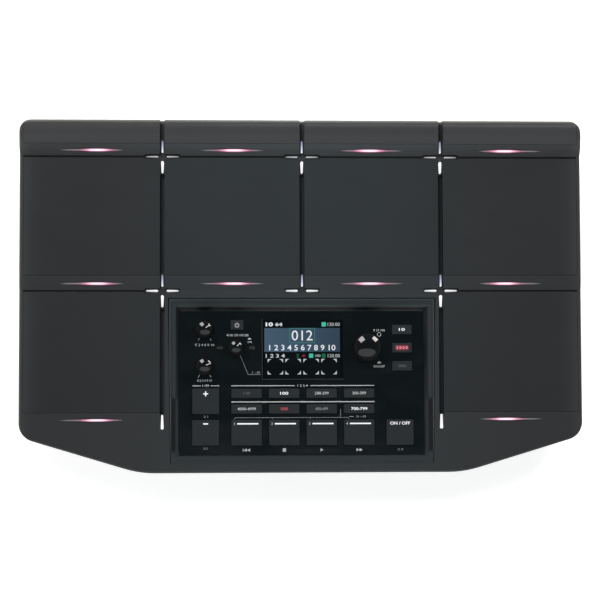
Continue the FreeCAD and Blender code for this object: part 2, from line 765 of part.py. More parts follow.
def bezel_frame(front_back=0.0):
    """The bezel's outline, with its front edge moved back where asked."""
    return trapezoid(BEZEL_FRONT + front_back, BEZEL_REAR, BEZEL_HALF_FRONT, BEZEL_HALF_REAR)


def funnel(low, high):
    """The solid between two four-sided wires."""
    return Part.makeLoft([low, high], True, True)


def make_bezel():
    edge = bezel_frame()
    ring = prism(edge, -BEZEL_FLANGE, 0)
    ring = ring.fuse(prism(inset(edge, BEZEL_LEDGE + BEZEL_LEDGE_GAP), -BEZEL_DEEP, -BEZEL_FLANGE))
    rim = inset(bezel_frame(BEZEL_RIM_FRONT - BEZEL_RIM), BEZEL_RIM)
    step = trapezoid(
        BEZEL_FRONT + STEP_INSET_FRONT, BEZEL_REAR - STEP_INSET_REAR,
        BEZEL_HALF_FRONT - STEP_INSET_SIDE, BEZEL_HALF_REAR - STEP_INSET_SIDE)
    opening = prism(rim, 0, PASS)
    bevel = funnel(polygon(step, -STEP_DROP), polygon(rim, 0))
    to_deck = DECK.inverse() * PANEL
    window = place(polygon(panel_outline(0)), to_deck)
    drop = funnel(window, polygon(step, -STEP_DROP))
    plate_room = place(prism(panel_outline(PANEL_MARGIN + PANEL_GAP), -FAR, 0), to_deck)
    for hole in (opening, bevel, drop, plate_room):
        ring = ring.cut(hole)
    return ring


def rounded_block(x, y, width, depth, z0, z1, radius):
    block = box(x - width / 2, x + width / 2, y - depth / 2, y + depth / 2, z0, z1)
    return block.makeFillet(radius, [edge for edge in block.Edges if edge.BoundBox.ZLength > z1 - z0 - PICK])


def make_button(x, y, width, depth):
    y = on_panel(y)
    flange_top = -PANEL_PLATE - FLANGE_GAP
    cap = rounded_block(x, y, width, depth, flange_top - FLANGE_THICK, BUTTON_RISE, BUTTON_CORNER_R)
    rim = [edge for edge in cap.Edges if edge.BoundBox.ZMin > BUTTON_RISE - PICK]
    cap = cap.makeFillet(BUTTON_ROUND, rim)
    flange = box(
        x - width / 2 - BUTTON_FLANGE, x + width / 2 + BUTTON_FLANGE,
        y - depth / 2 - BUTTON_FLANGE, y + depth / 2 + BUTTON_FLANGE,
        flange_top - FLANGE_THICK, flange_top)
    return cap.fuse(flange).removeSplitter()


def make_panel():
    plate = prism(panel_outline(PANEL_MARGIN), -PANEL_PLATE, 0)
    for x, y, width, depth in BUTTONS.values():
        gap = 2 * BUTTON_GAP
        hole = rounded_block(
            x, on_panel(y), width + gap, depth + gap, -FAR, FAR, BUTTON_CORNER_R + BUTTON_GAP)
        plate = plate.cut(hole)
    for x, y, _, _, _ in KNOBS.values():
        plate = plate.cut(cylinder(BUSH_R + BUSH_HOLE_GAP, x, on_panel(y), -FAR, FAR))
    y0, y1 = on_panel(WINDOW_FRONT), on_panel(WINDOW_REAR)
    plate = plate.cut(box(WINDOW_LEFT, WINDOW_RIGHT, y0, y1, -FAR, FAR))
    for x, y in PANEL_SCREWS:
        boss = cylinder(BOSS_R, x, on_panel(y), PANEL_BOARD_TOP, -PANEL_PLATE)
        plate = plate.fuse(boss)
        grip = PANEL_BOARD_TOP + BOARD_SCREW_GRIP
        plate = plate.cut(cylinder(BOARD_SCREW_R + SCREW_GAP, x, on_panel(y), PANEL_BOARD_TOP, grip))
    return plate


def make_panel_board():
    top = PANEL_BOARD_TOP
    board = prism(panel_outline(PANEL_MARGIN - BOARD_INSET), top - BOARD_THICK, top)
    for x, y in PANEL_SCREWS:
        board = board.cut(cylinder(BOARD_SCREW_R + SCREW_GAP, x, on_panel(y), -FAR, FAR))
    button_under = -PANEL_PLATE - FLANGE_GAP - FLANGE_THICK
    switches = []
    for x, y, _, _ in BUTTONS.values():
        y = on_panel(y)
        half = SWITCH_SIDE / 2
        body = box(x - half, x + half, y - half, y + half, top, top + SWITCH_HEIGHT)
        stem_top = button_under - BUTTON_TRAVEL - SWITCH_GAP
        switches.append(body.fuse(cylinder(SWITCH_STEM_R, x, y, top + SWITCH_HEIGHT, stem_top)))
    return [board] + switches


def make_display():
    x0, x1 = WINDOW_LEFT, WINDOW_RIGHT
    y0, y1 = on_panel(WINDOW_FRONT), on_panel(WINDOW_REAR)
    gap = GLASS_GAP
    margin = DISPLAY_MARGIN
    seat = -PANEL_PLATE - FLANGE_GAP
    glass = box(x0 + gap, x1 - gap, y0 + gap, y1 - gap, seat, -GLASS_SINK)
    back = box(x0 - margin, x1 + margin, y0 - margin, y1 + margin, DISPLAY_BACK, seat)
    return [glass, back]


# Rotary controls

def knob_top(name):
    return KNOB_LIFT + KNOBS[name][3]


def make_shaft(name):
    x, y, _, height, _ = KNOBS[name]
    return cylinder(SHAFT_R, x, on_panel(y), SHAFT_BOTTOM, KNOB_LIFT + height * SHAFT_SHARE)


def knob_crown(name):
    """Radius, curve and level of a knob's domed crown, and the level where its side ends."""
    slope = math.radians(KNOB_CROWN)
    rim = KNOBS[name][2] - KNOB_TAPER - KNOB_ROUND * (1 - math.sin(slope))
    curve = rim / math.sin(slope)
    level = knob_top(name) - curve * (1 - math.cos(slope))
    return rim, curve, level, level - KNOB_ROUND * math.cos(slope)


def make_knob(name):
    """A turned knob: a short foot, a slightly tapered side, a round shoulder and a domed crown."""
    x, y, radius, height, _ = KNOBS[name]
    low, top = KNOB_LIFT, knob_top(name)
    rim, curve, level, side_top = knob_crown(name)
    side = radius - KNOB_TAPER
    slope = math.radians(KNOB_CROWN)
    turn = (math.pi / 2 - slope) / 2
    bend = Vector(
        side - KNOB_ROUND * (1 - math.cos(turn)), 0, side_top + KNOB_ROUND * math.sin(turn))
    dome = Vector(curve * math.sin(slope / 2), 0, top - curve * (1 - math.cos(slope / 2)))
    edges = [
        Part.LineSegment(Vector(0, 0, low), Vector(radius, 0, low)).toShape(),
        Part.LineSegment(Vector(radius, 0, low), Vector(radius, 0, low + KNOB_FOOT)).toShape(),
        Part.LineSegment(Vector(radius, 0, low + KNOB_FOOT), Vector(side, 0, side_top)).toShape(),
        Part.Arc(Vector(side, 0, side_top), bend, Vector(rim, 0, level)).toShape(),
        Part.Arc(Vector(rim, 0, level), dome, Vector(0, 0, top)).toShape(),
        Part.LineSegment(Vector(0, 0, top), Vector(0, 0, low)).toShape(),
    ]
    body = Part.Face(Part.Wire(edges)).revolve(Vector(0, 0, 0), Vector(0, 0, 1), 360)
    bore = cylinder(SHAFT_R + SHAFT_SEAT_GAP, 0, 0, low, low + height * SHAFT_SHARE + KNOB_END_GAP)
    knob = body.cut(bore)
    if name in POINTERS:
        half = POINTER / 2
        line = box(-half, half, rim * POINTER_START, rim, level - PASS, top + PASS)
        line = line.cut(body.translated(Vector(0, 0, -POINTER_DEEP)))
        line.rotate(Vector(0, 0, 0), Vector(0, 0, 1), POINTERS[name])
        knob = knob.cut(line)
    return knob.translated(Vector(x, on_panel(y), 0))


def make_rotor(name):
    x, y = KNOBS[name][:2]
    ring = cylinder(ROTOR_R, x, on_panel(y), ROTOR_TOP - ROTOR_THICK, ROTOR_TOP)
    return ring.cut(cylinder(SHAFT_R + SHAFT_CLEARANCE, x, on_panel(y), -FAR, FAR))


def make_controls():
    bodies = []
    half = CONTROL_SIDE / 2
    for x, y, _, _, pushed in KNOBS.values():
        y = on_panel(y)
        body = box(x - half, x + half, y - half, y + half, PANEL_BOARD_TOP, CONTROL_TOP)
        body = body.fuse(cylinder(BUSH_R, x, y, CONTROL_TOP, BUSH_TOP))
        room = BUTTON_TRAVEL + SHAFT_END_GAP if pushed else SHAFT_END_GAP
        body = body.cut(cylinder(SHAFT_R + SHAFT_CLEARANCE, x, y, SHAFT_BOTTOM - room, FAR))
        if pushed:
            low = ROTOR_TOP - ROTOR_THICK - ROTOR_GAP
            body = body.cut(cylinder(ROTOR_R + ROTOR_GAP, x, y, low, ROTOR_TOP + ROTOR_GAP))
        bodies.append(body)
    return bodies


# Bottom case, upright in the world

def world_outline(distance, z):
    wire = outline(distance, z, math.cos(SLOPE))
    wire.translate(Vector(0, FRONT_Y, 0))
    return wire


def under_deck(distance, z=-SKIRT):
    return place(outline(distance, z), DECK)


def bay_inner_y():
    return REAR_Y - PLATE_RECESS - PLATE


def make_bottom_case():
    floor_top = FOOT_HEIGHT + FLOOR
    outer = Part.makeLoft([world_outline(BASE_INSET, FOOT_HEIGHT), under_deck(SEAM_INSET)], True, True)
    inner = Part.makeLoft(
        [world_outline(BASE_INSET + BASE_WALL, floor_top), under_deck(SEAM_INSET + BASE_WALL)], True, True)
    case = outer.cut(inner)

    # the open bay for the sockets and its two cheeks
    inner_y, outer_y = bay_inner_y(), REAR_Y + SKIRT
    case = case.cut(box(-BAY_HALF, BAY_HALF, inner_y, outer_y, BAY_FLOOR, FAR))
    for x0, x1 in ((-BAY_HALF - CHEEK, -BAY_HALF), (BAY_HALF, BAY_HALF + CHEEK)):
        case = case.fuse(box(x0, x1, inner_y, outer_y, floor_top, FAR).common(outer))

    bosses = [cylinder(POST_R, x, y, floor_top, BOSS_SPLIT) for x, y in case_screw_places()]
    board_seat = MAIN_BOARD_TOP - BOARD_THICK
    insert_top = FOOT_HEIGHT + INSERT_LENGTH
    for x, y in insert_places():
        bosses.append(cylinder(INSERT_BOSS_R, x, y, floor_top, insert_top + INSERT_CAP))
    for x, y in board_screw_places():
        bosses.append(cylinder(STANDOFF_R, x, y, floor_top, board_seat))
    case = case.multiFuse(bosses)

    holes = []
    for x, y in case_screw_places():
        holes.append(cylinder(SCREW_R + SCREW_GAP, x, y, 0, BOSS_SPLIT))
        holes.append(cylinder(SCREW_HEAD_R + SCREW_GAP, x, y, 0, FOOT_HEIGHT + SCREW_SINK + SCREW_HEAD))
    for x, y in insert_places():
        holes.append(cylinder(INSERT_R + INSERT_GAP, x, y, 0, insert_top))
    for x, y in board_screw_places():
        holes.append(cylinder(BOARD_SCREW_R + SCREW_GAP, x, y, board_seat - BOARD_SCREW_GRIP, board_seat))
    return case.cut(Part.Compound(holes)).removeSplitter()


def insert_places():
    half_x, half_y = INSERT_SPACING_X / 2, INSERT_SPACING_Y / 2
    return [(x, y) for x in (-half_x, half_x) for y in (-half_y, half_y)]


def make_inserts():
    sleeves = []
    for x, y in insert_places():
        top = FOOT_HEIGHT + INSERT_LENGTH
        sleeve = cylinder(INSERT_R, x, y, FOOT_HEIGHT, top)
        sleeves.append(sleeve.cut(cylinder(INSERT_BORE_R, x, y, 0, top)))
    return sleeves


def foot_places():
    side = HALF - BASE_INSET - FOOT_INSET
    rear = REAR_Y - BASE_INSET - FOOT_INSET
    front_side = FRONT_HALF - FOOT_INSET
    front = FRONT_Y + BASE_INSET + FOOT_INSET / 2
    return [(-front_side, front), (front_side, front), (-side, rear), (side, rear)]


def make_feet():
    feet = []
    for x, y in foot_places():
        foot = cylinder(FOOT_R, x, y, 0, FOOT_HEIGHT)
        rim = [edge for edge in foot.Edges if edge.BoundBox.ZMax < PICK]
        feet.append(foot.makeChamfer(FOOT_CHAMFER, rim))
    return feet


# Boards and sockets at the rear

def board_front_y():
    return bay_inner_y() - SOCKET_GAP - MAIN_BOARD_DEPTH


def board_screw_places():
    inset_y = 2 * STANDOFF_R
    y0, y1 = board_front_y() + inset_y, board_front_y() + MAIN_BOARD_DEPTH / 2
    return [(side * (MAIN_BOARD_HALF - inset_y), y) for side in (-1, 1) for y in (y0, y1)]


def make_main_board():
    y0 = board_front_y()
    board = box(
        -MAIN_BOARD_HALF, MAIN_BOARD_HALF, y0, y0 + MAIN_BOARD_DEPTH,
        MAIN_BOARD_TOP - BOARD_THICK, MAIN_BOARD_TOP)
    for x, y in board_screw_places():
        board = board.cut(cylinder(BOARD_SCREW_R + SCREW_GAP, x, y, 0, FAR))
    for x, y in case_screw_places():
        board = board.cut(cylinder(POST_R + POST_HOLE_GAP, x, y, 0, FAR))
    top = MAIN_BOARD_TOP
    chips = [box(x - w / 2, x + w / 2, y0 + y, y0 + y + d, top, top + h) for x, y, w, d, h in CHIPS]
    return [board] + chips


def jack_places():
    return [JACK_FIRST + index * JACK_PITCH for index in range(JACK_COUNT)]


def socket_z():
    return MAIN_BOARD_TOP + JACK_SIDE / 2


def make_jack_plate():
    """The flat plate that carries the sockets, and the angle strip that closes the bay over it."""
    inner = bay_inner_y()
    face_y = inner + PLATE
    half = BAY_HALF - SOCKET_GAP
    shelf = BAY_SHELF - PLATE
    plate = box(-half, half, inner, face_y, BAY_FLOOR + SOCKET_GAP, shelf)
    y0, y1 = inner - PASS, face_y + PASS
    holes = [rod_y(JACK_BUSH_R + SOCKET_GAP, x, socket_z(), y0, y1) for x in jack_places()]
    holes += [rod_y(MIDI_R + SOCKET_GAP, x, midi_z(), y0, y1) for x in MIDI_PLACES]
    for x, width, height in ((USB_X, USB_WIDTH, USB_HEIGHT), (DC_X, DC_WIDTH, DC_HEIGHT)):
        half_width = width / 2 + SOCKET_GAP
        holes.append(box(
            x - half_width, x + half_width, y0, y1,
            MAIN_BOARD_TOP - SOCKET_GAP, MAIN_BOARD_TOP + height + SOCKET_GAP))

    lip_y = REAR_Y + SINK_TO_REAR - SEAM_INSET - SOCKET_GAP
    top = deck_underside(lip_y) - SOCKET_GAP
    strip = box(-half, half, inner, lip_y, shelf, BAY_SHELF)
    strip = strip.fuse(box(-half, half, lip_y - PLATE, lip_y, shelf, top)).removeSplitter()
    return [plate.cut(Part.Compound(holes)), strip]


def deck_underside(y):
    """World height of the top case's lower edge at a world y."""
    along = (y - FRONT_Y - SKIRT * math.sin(SLOPE)) / math.cos(SLOPE)
    return FRONT_HEIGHT + along * math.sin(SLOPE) - SKIRT * math.cos(SLOPE)


def midi_z():
    return MAIN_BOARD_TOP + MIDI_SIDE / 2


def hexagon_nut(x, z, y):
    """A nut with its bore along y, lying on the socket plate."""
    corners = []
    for turn in range(0, 360, 60):
        angle = math.radians(turn)
        corners.append(Vector(x + JACK_NUT_R * math.cos(angle), y, z + JACK_NUT_R * math.sin(angle)))
    nut = Part.Face(Part.makePolygon(corners + corners[:1])).extrude(Vector(0, JACK_NUT, 0))
    return nut.cut(rod_y(JACK_BUSH_R + SCREW_GAP, x, z, y - PASS, y + JACK_NUT + PASS))


def make_phone_jacks():
    pieces = []
    inner = bay_inner_y()
    face_y = inner + PLATE
    tip = face_y + JACK_BUSH
    half = JACK_SIDE / 2
    top = MAIN_BOARD_TOP + JACK_SIDE
    z = socket_z()
    for x in jack_places():
        body = box(x - half, x + half, inner - JACK_LENGTH, inner, MAIN_BOARD_TOP, top)
        body = body.fuse(rod_y(JACK_BUSH_R, x, z, inner, tip))
        pieces.append(body.cut(rod_y(JACK_BORE_R, x, z, tip - JACK_BORE_DEPTH, tip + PASS)))
        pieces.append(hexagon_nut(x, z, face_y))
    return pieces


def make_midi_sockets():
    sockets = []
    inner = bay_inner_y()
    mouth = inner + PLATE + SOCKET_GAP
    half = MIDI_SIDE / 2
    top = MAIN_BOARD_TOP + MIDI_SIDE
    z = midi_z()
    for x in MIDI_PLACES:
        body = box(x - half, x + half, inner - MIDI_LENGTH, inner, MAIN_BOARD_TOP, top)
        body = body.fuse(rod_y(MIDI_R, x, z, inner, mouth))
        body = body.cut(rod_y(MIDI_CAVITY_R, x, z, mouth - MIDI_CAVITY, mouth + PASS))
        for turn in range(0, 181, 45):
            angle = math.radians(turn)
            hole_x = x + MIDI_PIN_CIRCLE_R * math.cos(angle)
            hole_z = z - MIDI_PIN_CIRCLE_R * math.sin(angle)
            body = body.cut(rod_y(MIDI_PIN_R, hole_x, hole_z, mouth - MIDI_LENGTH, mouth))
        sockets.append(body)
    return sockets


def make_usb_socket():
    mouth = bay_inner_y() + PLATE + SOCKET_GAP
    half = USB_WIDTH / 2
    base, top = MAIN_BOARD_TOP, MAIN_BOARD_TOP + USB_HEIGHT
    wall = USB_WALL
    shell = box(USB_X - half, USB_X + half, mouth - USB_LENGTH, mouth, base, top)
    shell = shell.cut(box(
        USB_X - half + wall, USB_X + half - wall, mouth - USB_CAVITY, mouth + PASS,
        base + wall, top - wall))
    tongue = USB_TONGUE / 2
    low = base + USB_TONGUE_LIFT
    return shell.fuse(box(
        USB_X - tongue, USB_X + tongue, mouth - USB_CAVITY, mouth - wall, low, low + USB_TONGUE_THICK))


def make_dc_socket():
    mouth = bay_inner_y() + PLATE + SOCKET_GAP
    half = DC_WIDTH / 2
    base = MAIN_BOARD_TOP
    z = base + DC_HEIGHT / 2
    body = box(DC_X - half, DC_X + half, mouth - DC_LENGTH, mouth, base, base + DC_HEIGHT)
    body = body.cut(rod_y(DC_BORE_R, DC_X, z, mouth - DC_CAVITY, mouth + PASS))
    return body.fuse(rod_y(DC_PIN_R, DC_X, z, mouth - DC_CAVITY, mouth - DC_PIN_SINK))


# Screws

def screw(shank_r, head_r, head, length):
    """A pan-head screw standing on its head, with a recess in the head."""
    body = cylinder(head_r, 0, 0, 0, head)
    body = body.fuse(cylinder(shank_r, 0, 0, head, head + length))
    return body.cut(cylinder(shank_r * SCREW_RECESS_R, 0, 0, -PASS, head / 2))


def make_screws():
    head_z = FOOT_HEIGHT + SCREW_SINK
    length = BOSS_SPLIT + SCREW_GRIP - head_z - SCREW_HEAD
    case_screw = screw(SCREW_R, SCREW_HEAD_R, SCREW_HEAD, length)
    board_screw = screw(BOARD_SCREW_R, BOARD_SCREW_HEAD_R, BOARD_SCREW_HEAD, BOARD_THICK + BOARD_SCREW_GRIP)
    turned = board_screw.copy()
    turned.rotate(Vector(0, 0, 0), Vector(1, 0, 0), 180)
    under_board = PANEL_BOARD_TOP - BOARD_THICK - BOARD_SCREW_HEAD
    pieces = [case_screw.translated(Vector(x, y, head_z)) for x, y in case_screw_places()]
    for x, y in board_screw_places():
        pieces.append(turned.translated(Vector(x, y, MAIN_BOARD_TOP + BOARD_SCREW_HEAD)))
    for x, y in PANEL_SCREWS:
        pieces.append(place(board_screw.translated(Vector(x, on_panel(y), under_board)), PANEL))
    return pieces


os.makedirs("parts", exist_ok=True)
save("top_case", make_top_case())
for pad_name, pad_spot in pad_places().items():
    save(pad_name, make_pad(pad_name, pad_spot), DECK)
save("pad_foam", make_foam(), DECK)
save("pad_chassis", make_chassis())
save("pad_sensors", make_sensors(), DECK)
save("pad_lights", make_pad_lights(), DECK)
save("corner_lights", make_corner_lights(), DECK)
save("panel_bezel", make_bezel(), DECK)
save("control_panel", make_panel(), PANEL)
for button_name, button_place in BUTTONS.items():
    save(button_name, make_button(*button_place), PANEL)
for knob_name, knob_facts in KNOBS.items():
    save(f"{knob_name}_knob", make_knob(knob_name), PANEL)
    save(f"{knob_name}_shaft", make_shaft(knob_name), PANEL)
    if knob_facts[4]:
        save(f"{knob_name}_rotor", make_rotor(knob_name), PANEL)
save("rotary_controls", make_controls(), PANEL)
save("panel_board", make_panel_board(), PANEL)
save("display_module", make_display(), PANEL)
save("bottom_case", make_bottom_case())
save("stand_inserts", make_inserts())
save("rubber_feet", make_feet())
save("main_board", make_main_board())
save("jack_plate", make_jack_plate())
save("phone_jacks", make_phone_jacks())
save("midi_sockets", make_midi_sockets())
save("usb_socket", make_usb_socket())
save("dc_socket", make_dc_socket())
save("screws", make_screws())
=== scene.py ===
import json
import math
from functools import reduce

import bmesh
import bpy
from mathutils import Matrix, Vector


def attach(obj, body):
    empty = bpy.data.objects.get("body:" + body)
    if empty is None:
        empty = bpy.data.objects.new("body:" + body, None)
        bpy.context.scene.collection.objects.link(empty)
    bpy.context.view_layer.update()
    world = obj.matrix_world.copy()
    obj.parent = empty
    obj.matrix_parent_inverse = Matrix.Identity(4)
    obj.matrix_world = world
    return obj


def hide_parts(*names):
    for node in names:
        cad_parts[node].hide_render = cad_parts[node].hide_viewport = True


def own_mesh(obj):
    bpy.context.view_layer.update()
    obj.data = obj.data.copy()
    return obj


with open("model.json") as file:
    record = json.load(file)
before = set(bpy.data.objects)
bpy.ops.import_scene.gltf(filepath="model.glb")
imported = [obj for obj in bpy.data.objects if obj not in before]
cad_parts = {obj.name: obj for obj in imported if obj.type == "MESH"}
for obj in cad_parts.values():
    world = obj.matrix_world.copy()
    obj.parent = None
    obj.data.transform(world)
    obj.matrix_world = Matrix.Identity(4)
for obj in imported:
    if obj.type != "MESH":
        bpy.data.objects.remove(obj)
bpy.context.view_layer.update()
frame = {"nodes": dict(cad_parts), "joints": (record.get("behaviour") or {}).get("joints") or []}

scene = bpy.context.scene
nodes = frame["nodes"]
MM = 0.001
WHITE = (1.0, 1.0, 1.0, 1.0)
MATERIALS = {}

# The panel's own frame, in millimetres: x across, y to the rear from the line of the value knob,
# and height above the panel's face. The two volume knobs stand one each side of that line.
joints = {joint["name"]: joint for joint in frame["joints"]}
upper_knob = Vector(joints["main_volume_turn"]["pos_m"])
lower_knob = Vector(joints["phones_turn"]["pos_m"])
panel_up = Vector(joints["main_volume_turn"]["axis"]).normalized()
panel_rear = (upper_knob - lower_knob).normalized()
panel_middle = (upper_knob + lower_knob) / 2
panel_middle.x = 0.0
deck_up = -Vector(joints["main_pad_1_press"]["axis"]).normalized()


def plane_matrix(origin, rear, up):
    """Places a drawing in millimetres on a plane of the object."""
    turn = Matrix((rear.cross(up), rear, up)).transposed().to_4x4()
    return Matrix.Translation(origin) @ turn @ Matrix.Scale(MM, 4)


PANEL = plane_matrix(panel_middle, panel_rear, panel_up)
FROM_PANEL = PANEL.inverted()
SHOWN_FROM = 0.5

# The deck's own frame, in millimetres: x across, y to the rear along the striking faces, z square to them
deck_rear = Vector((0.0, deck_up.z, -deck_up.y))
DECK = plane_matrix(Vector((0.0, 0.0, 0.0)), deck_rear, deck_up)
FROM_DECK = DECK.inverted()
ROW_GAP = 1.4
ROW_BREAK = 3.0


def on_panel(name):
    """Middle, width, depth and height of what a node shows above the panel, in the panel's frame."""
    points = [FROM_PANEL @ v.co for v in nodes[name].data.vertices]
    xs, ys, zs = zip(*[p for p in points if p.z > SHOWN_FROM])
    return (
        (min(xs) + max(xs)) / 2, (min(ys) + max(ys)) / 2,
        max(xs) - min(xs), max(ys) - min(ys), max(zs))


def corners_of(points):
    """Lowest and highest corner of a cloud of points."""
    return [Vector([pick(p[k] for p in points) for k in range(3)]) for pick in (min, max)]


def points_in_deck(name):
    return [FROM_DECK @ v.co for v in nodes[name].data.vertices]


def in_deck(name):
    """Lowest and highest corner of a node in the deck's frame."""
    return corners_of(points_in_deck(name))


def rows_of(name):
    """Middle lines, from front to rear, of the rows in which a node's bodies lie on the deck."""
    ys = sorted(p.y for p in points_in_deck(name))
    rows = [[ys[0]]]
    for y in ys[1:]:
        if y - rows[-1][-1] > ROW_BREAK:
            rows.append([])
        rows[-1].append(y)
    return [(row[0] + row[-1]) / 2 for row in rows]


# Where the lights lie on the deck, in metres. The lamps sit deep under their slits.
SLIT_ROWS = [row * MM for row in rows_of("pad_lights")]
pads = {name: in_deck(name) for name in nodes if "_pad_" in name}
CROSS_ROWS = [(pads[name][1].y + ROW_GAP / 2) * MM for name in ("low_pad_1", "main_pad_1")]
COLUMN_LINE = (pads["main_pad_3"][1].x + pads["main_pad_4"][0].x) / 2 * MM
LAMP_COLUMNS = (0.0516, 0.1552)

# The bezel's painted highlights and shade: millimetres in from its seam, and the share of the plain colour
BEZEL_SIDE = in_deck("panel_bezel")[1].x * MM
BEZEL_REAR = in_deck("panel_bezel")[1].y * MM
BEZEL_TURN = -0.0735
BEZEL_PLAIN = -0.1135
STEP_REACH = 16.0
REAR_PAINTED_STEPS = (
    (0.0, 0.3), (0.3, 0.7), (0.6, 1.5), (1.3, 1.25), (2.1, 0.80), (3.0, 0.92), (4.6, 0.96), (5.1, 1.4),
    (6.0, 1.5), (6.6, 0.5), (7.0, 0.02), (8.0, 0.02), (9.0, 0.8), (9.7, 0.8), (16.0, 0.5))
SIDE_PAINTED_STEPS = (
    (0.0, 0.1), (0.5, 0.3), (0.75, 1.5), (1.4, 1.6), (1.8, 0.6), (2.2, 0.75), (3.0, 0.9), (4.6, 1.05),
    (5.2, 0.9), (5.8, 0.25), (6.6, 0.5), (7.4, 0.3), (16.0, 0.3))
FRONT_PAINTED_STEPS = (
    (0.0, 0.1), (0.6, 0.4), (0.9, 2.2), (1.7, 2.2), (2.0, 0.7), (2.4, 0.22), (4.6, 0.22), (5.2, 0.4),
    (5.8, 0.8), (6.8, 0.8), (7.5, 0.4), (16.0, 0.3))

# Painted light and shade on the deck: what they run along, from where to where in metres, and shares of the
# plain colour
BAR_PAINTED_SHADE = ("Rearward", 0.119, 0.135, ((0.0, 1.17), (0.38, 1.17), (0.54, 0.95), (0.76, 0.84), (1.0, 0.86)))
BAR_EDGE_HIGHLIGHT = ("Rearward", 0.132, 0.137, ((0.0, 0.0), (0.55, 0.9), (1.0, 2.2)))
BAR_HIGHLIGHT_ALONG = ("Across", -0.2, 0.2, ((0.0, 0.0), (0.14, 0.05), (0.38, 0.95), (1.0, 1.45)))
PAD_ENDS_LIGHT = ("Outwards", 0.196, 0.212, ((0.0, 1.0), (0.5, 1.25), (1.0, 1.95)))
FRONT_OF_BARS_LIGHT = (
    "Rearward", 0.110, 0.130, ((0.0, 1.0), (0.15, 1.0), (0.32, 1.55), (0.62, 1.55), (0.72, 1.0), (1.0, 1.0)))
FOOT_OF_BARS = ("Height", 0.045, 0.048)
REAR_RIM_HIGHLIGHT = (("Rearward", 0.1342, 0.1372), ("Height", 0.048, 0.053), (2.9, 2.75, 2.45, 1.0))
SIDE_RIM_HIGHLIGHT = (("Outwards", 0.2040, 0.2135), ("Height", 0.036, 0.042), (1.6, 1.54, 1.46, 1.0))
LIT_MIDDLE_TO_ENDS = (0.060, 0.165)
TOP_SHARE = 3.0
DOT_PITCH = 0.00028

# The glow along a slit from its lamp, and across it from its middle line
GLOW_ALONG = (
    (0.0, (1.0, 0.80, 0.90)), (0.16, (1.0, 0.66, 0.80)), (0.29, (0.62, 0.28, 0.41)),
    (0.44, (0.24, 0.12, 0.16)), (0.64, (0.14, 0.13, 0.14)), (1.0, (0.09, 0.09, 0.094)))
GLOW_ACROSS = (
    (0.0, (1.0, 1.0, 1.0)), (0.50, (0.92, 0.86, 0.90)), (0.72, (0.24, 0.10, 0.16)),
    (1.0, (0.04, 0.015, 0.022)))

# The white dashes' glow outwards from their crossing, and how wide it is
DASH_START, DASH_END = 0.0035, 0.0125
SIDE_DASH_FROM, REARWARD_DASH_FROM = 0.0022, 0.0025
CORE_EDGE, CORE_END = 0.00042, 0.00078
SIDE_THINNER, FAR_SIDE_THINNER = 0.00010, 0.00014
REAR_SIDE_DASH = ((0.0, (0.62, 0.63, 0.66)), (0.6, (0.46, 0.46, 0.49)), (1.0, (0.17, 0.17, 0.19)))
FRONT_SIDE_DASH = ((0.0, (1.0, 1.0, 1.0)), (0.6, (0.92, 0.93, 0.97)), (1.0, (0.60, 0.60, 0.66)))
REARWARD_DASH = ((0.0, (0.90, 0.93, 1.0)), (0.4, (0.55, 0.60, 0.78)), (1.0, (0.16, 0.18, 0.26)))


# Shader building

def feed(tree, made, feeds):
    """Gives a node's inputs values, or links them to other nodes' outputs."""
    for socket, value in feeds.items():
        if isinstance(value, bpy.types.NodeSocket):
            tree.links.new(value, made.inputs[socket])
        else:
            made.inputs[socket].default_value = value


def node(tree, kind, feeds=None, **settings):
    """Adds a shader node, sets it up and feeds its inputs."""
    made = tree.nodes.new("ShaderNode" + kind)
    for name, value in settings.items():
        setattr(made, name, value)
    feed(tree, made, feeds or {})
    return made


def fed(tree, group, feeds):
    return node(tree, "Group", feeds, node_tree=group).outputs


def maths(tree, operation, *values, clamp=False):
    made = node(tree, "Math", dict(enumerate(values)), operation=operation, use_clamp=clamp)
    return made.outputs[0]


def product(tree, first, second):
    return maths(tree, "MULTIPLY", first, second)


def picked(tree, operation, *values):
    """The least or the most of several values."""
    return reduce(lambda first, second: maths(tree, operation, first, second), values)


def blend_value(tree, factor, first, second):
    made = node(tree, "Mix", {0: factor, 2: first, 3: second}, data_type="FLOAT")
    return made.outputs[0]


def blend(tree, factor, first, second, way="MIX"):
    made = node(tree, "Mix", {0: factor, 6: first, 7: second}, data_type="RGBA", blend_type=way)
    return made.outputs[2]


def tinted(tree, first, second):
    return blend(tree, 1.0, first, second, "MULTIPLY")


def remap(tree, value, low, high, to_low=0.0, to_high=1.0):
    return node(
        tree, "MapRange",
        {"Value": value, "From Min": low, "From Max": high, "To Min": to_low, "To Max": to_high},
        clamp=True).outputs["Result"]


def grey(tree, value):
    """A grey colour of a given level."""
    return node(tree, "CombineColor", dict.fromkeys(("Red", "Green", "Blue"), value)).outputs["Color"]


def along(tree, way, direction):
    """How far a vector reaches in a direction."""
    return node(tree, "VectorMath", {0: way, 1: direction}, operation="DOT_PRODUCT").outputs["Value"]


def in_object(tree):
    return node(tree, "TexCoord").outputs["Object"]


def noise(tree, vector, scale, detail, roughness, distortion=0.0):
    return node(
        tree, "TexNoise",
        {"Vector": vector, "Scale": scale, "Detail": detail, "Roughness": roughness,
         "Distortion": distortion}).outputs["Fac"]


def shader_group(name, inputs, *outputs):
    """An empty node group. Gives back its tree, its inputs and the node that takes its outputs."""
    tree = bpy.data.node_groups.new(name, "ShaderNodeTree")

    def new_socket(label, way):
        kind = "NodeSocketColor" if label == "Colour" else "NodeSocketFloat"
        return tree.interface.new_socket(name=label, in_out=way, socket_type=kind)

    for label, value in inputs.items():
        new_socket(label, "INPUT").default_value = value
    for label in outputs:
        new_socket(label, "OUTPUT")
    return tree, tree.nodes.new("NodeGroupInput").outputs, tree.nodes.new("NodeGroupOutput")


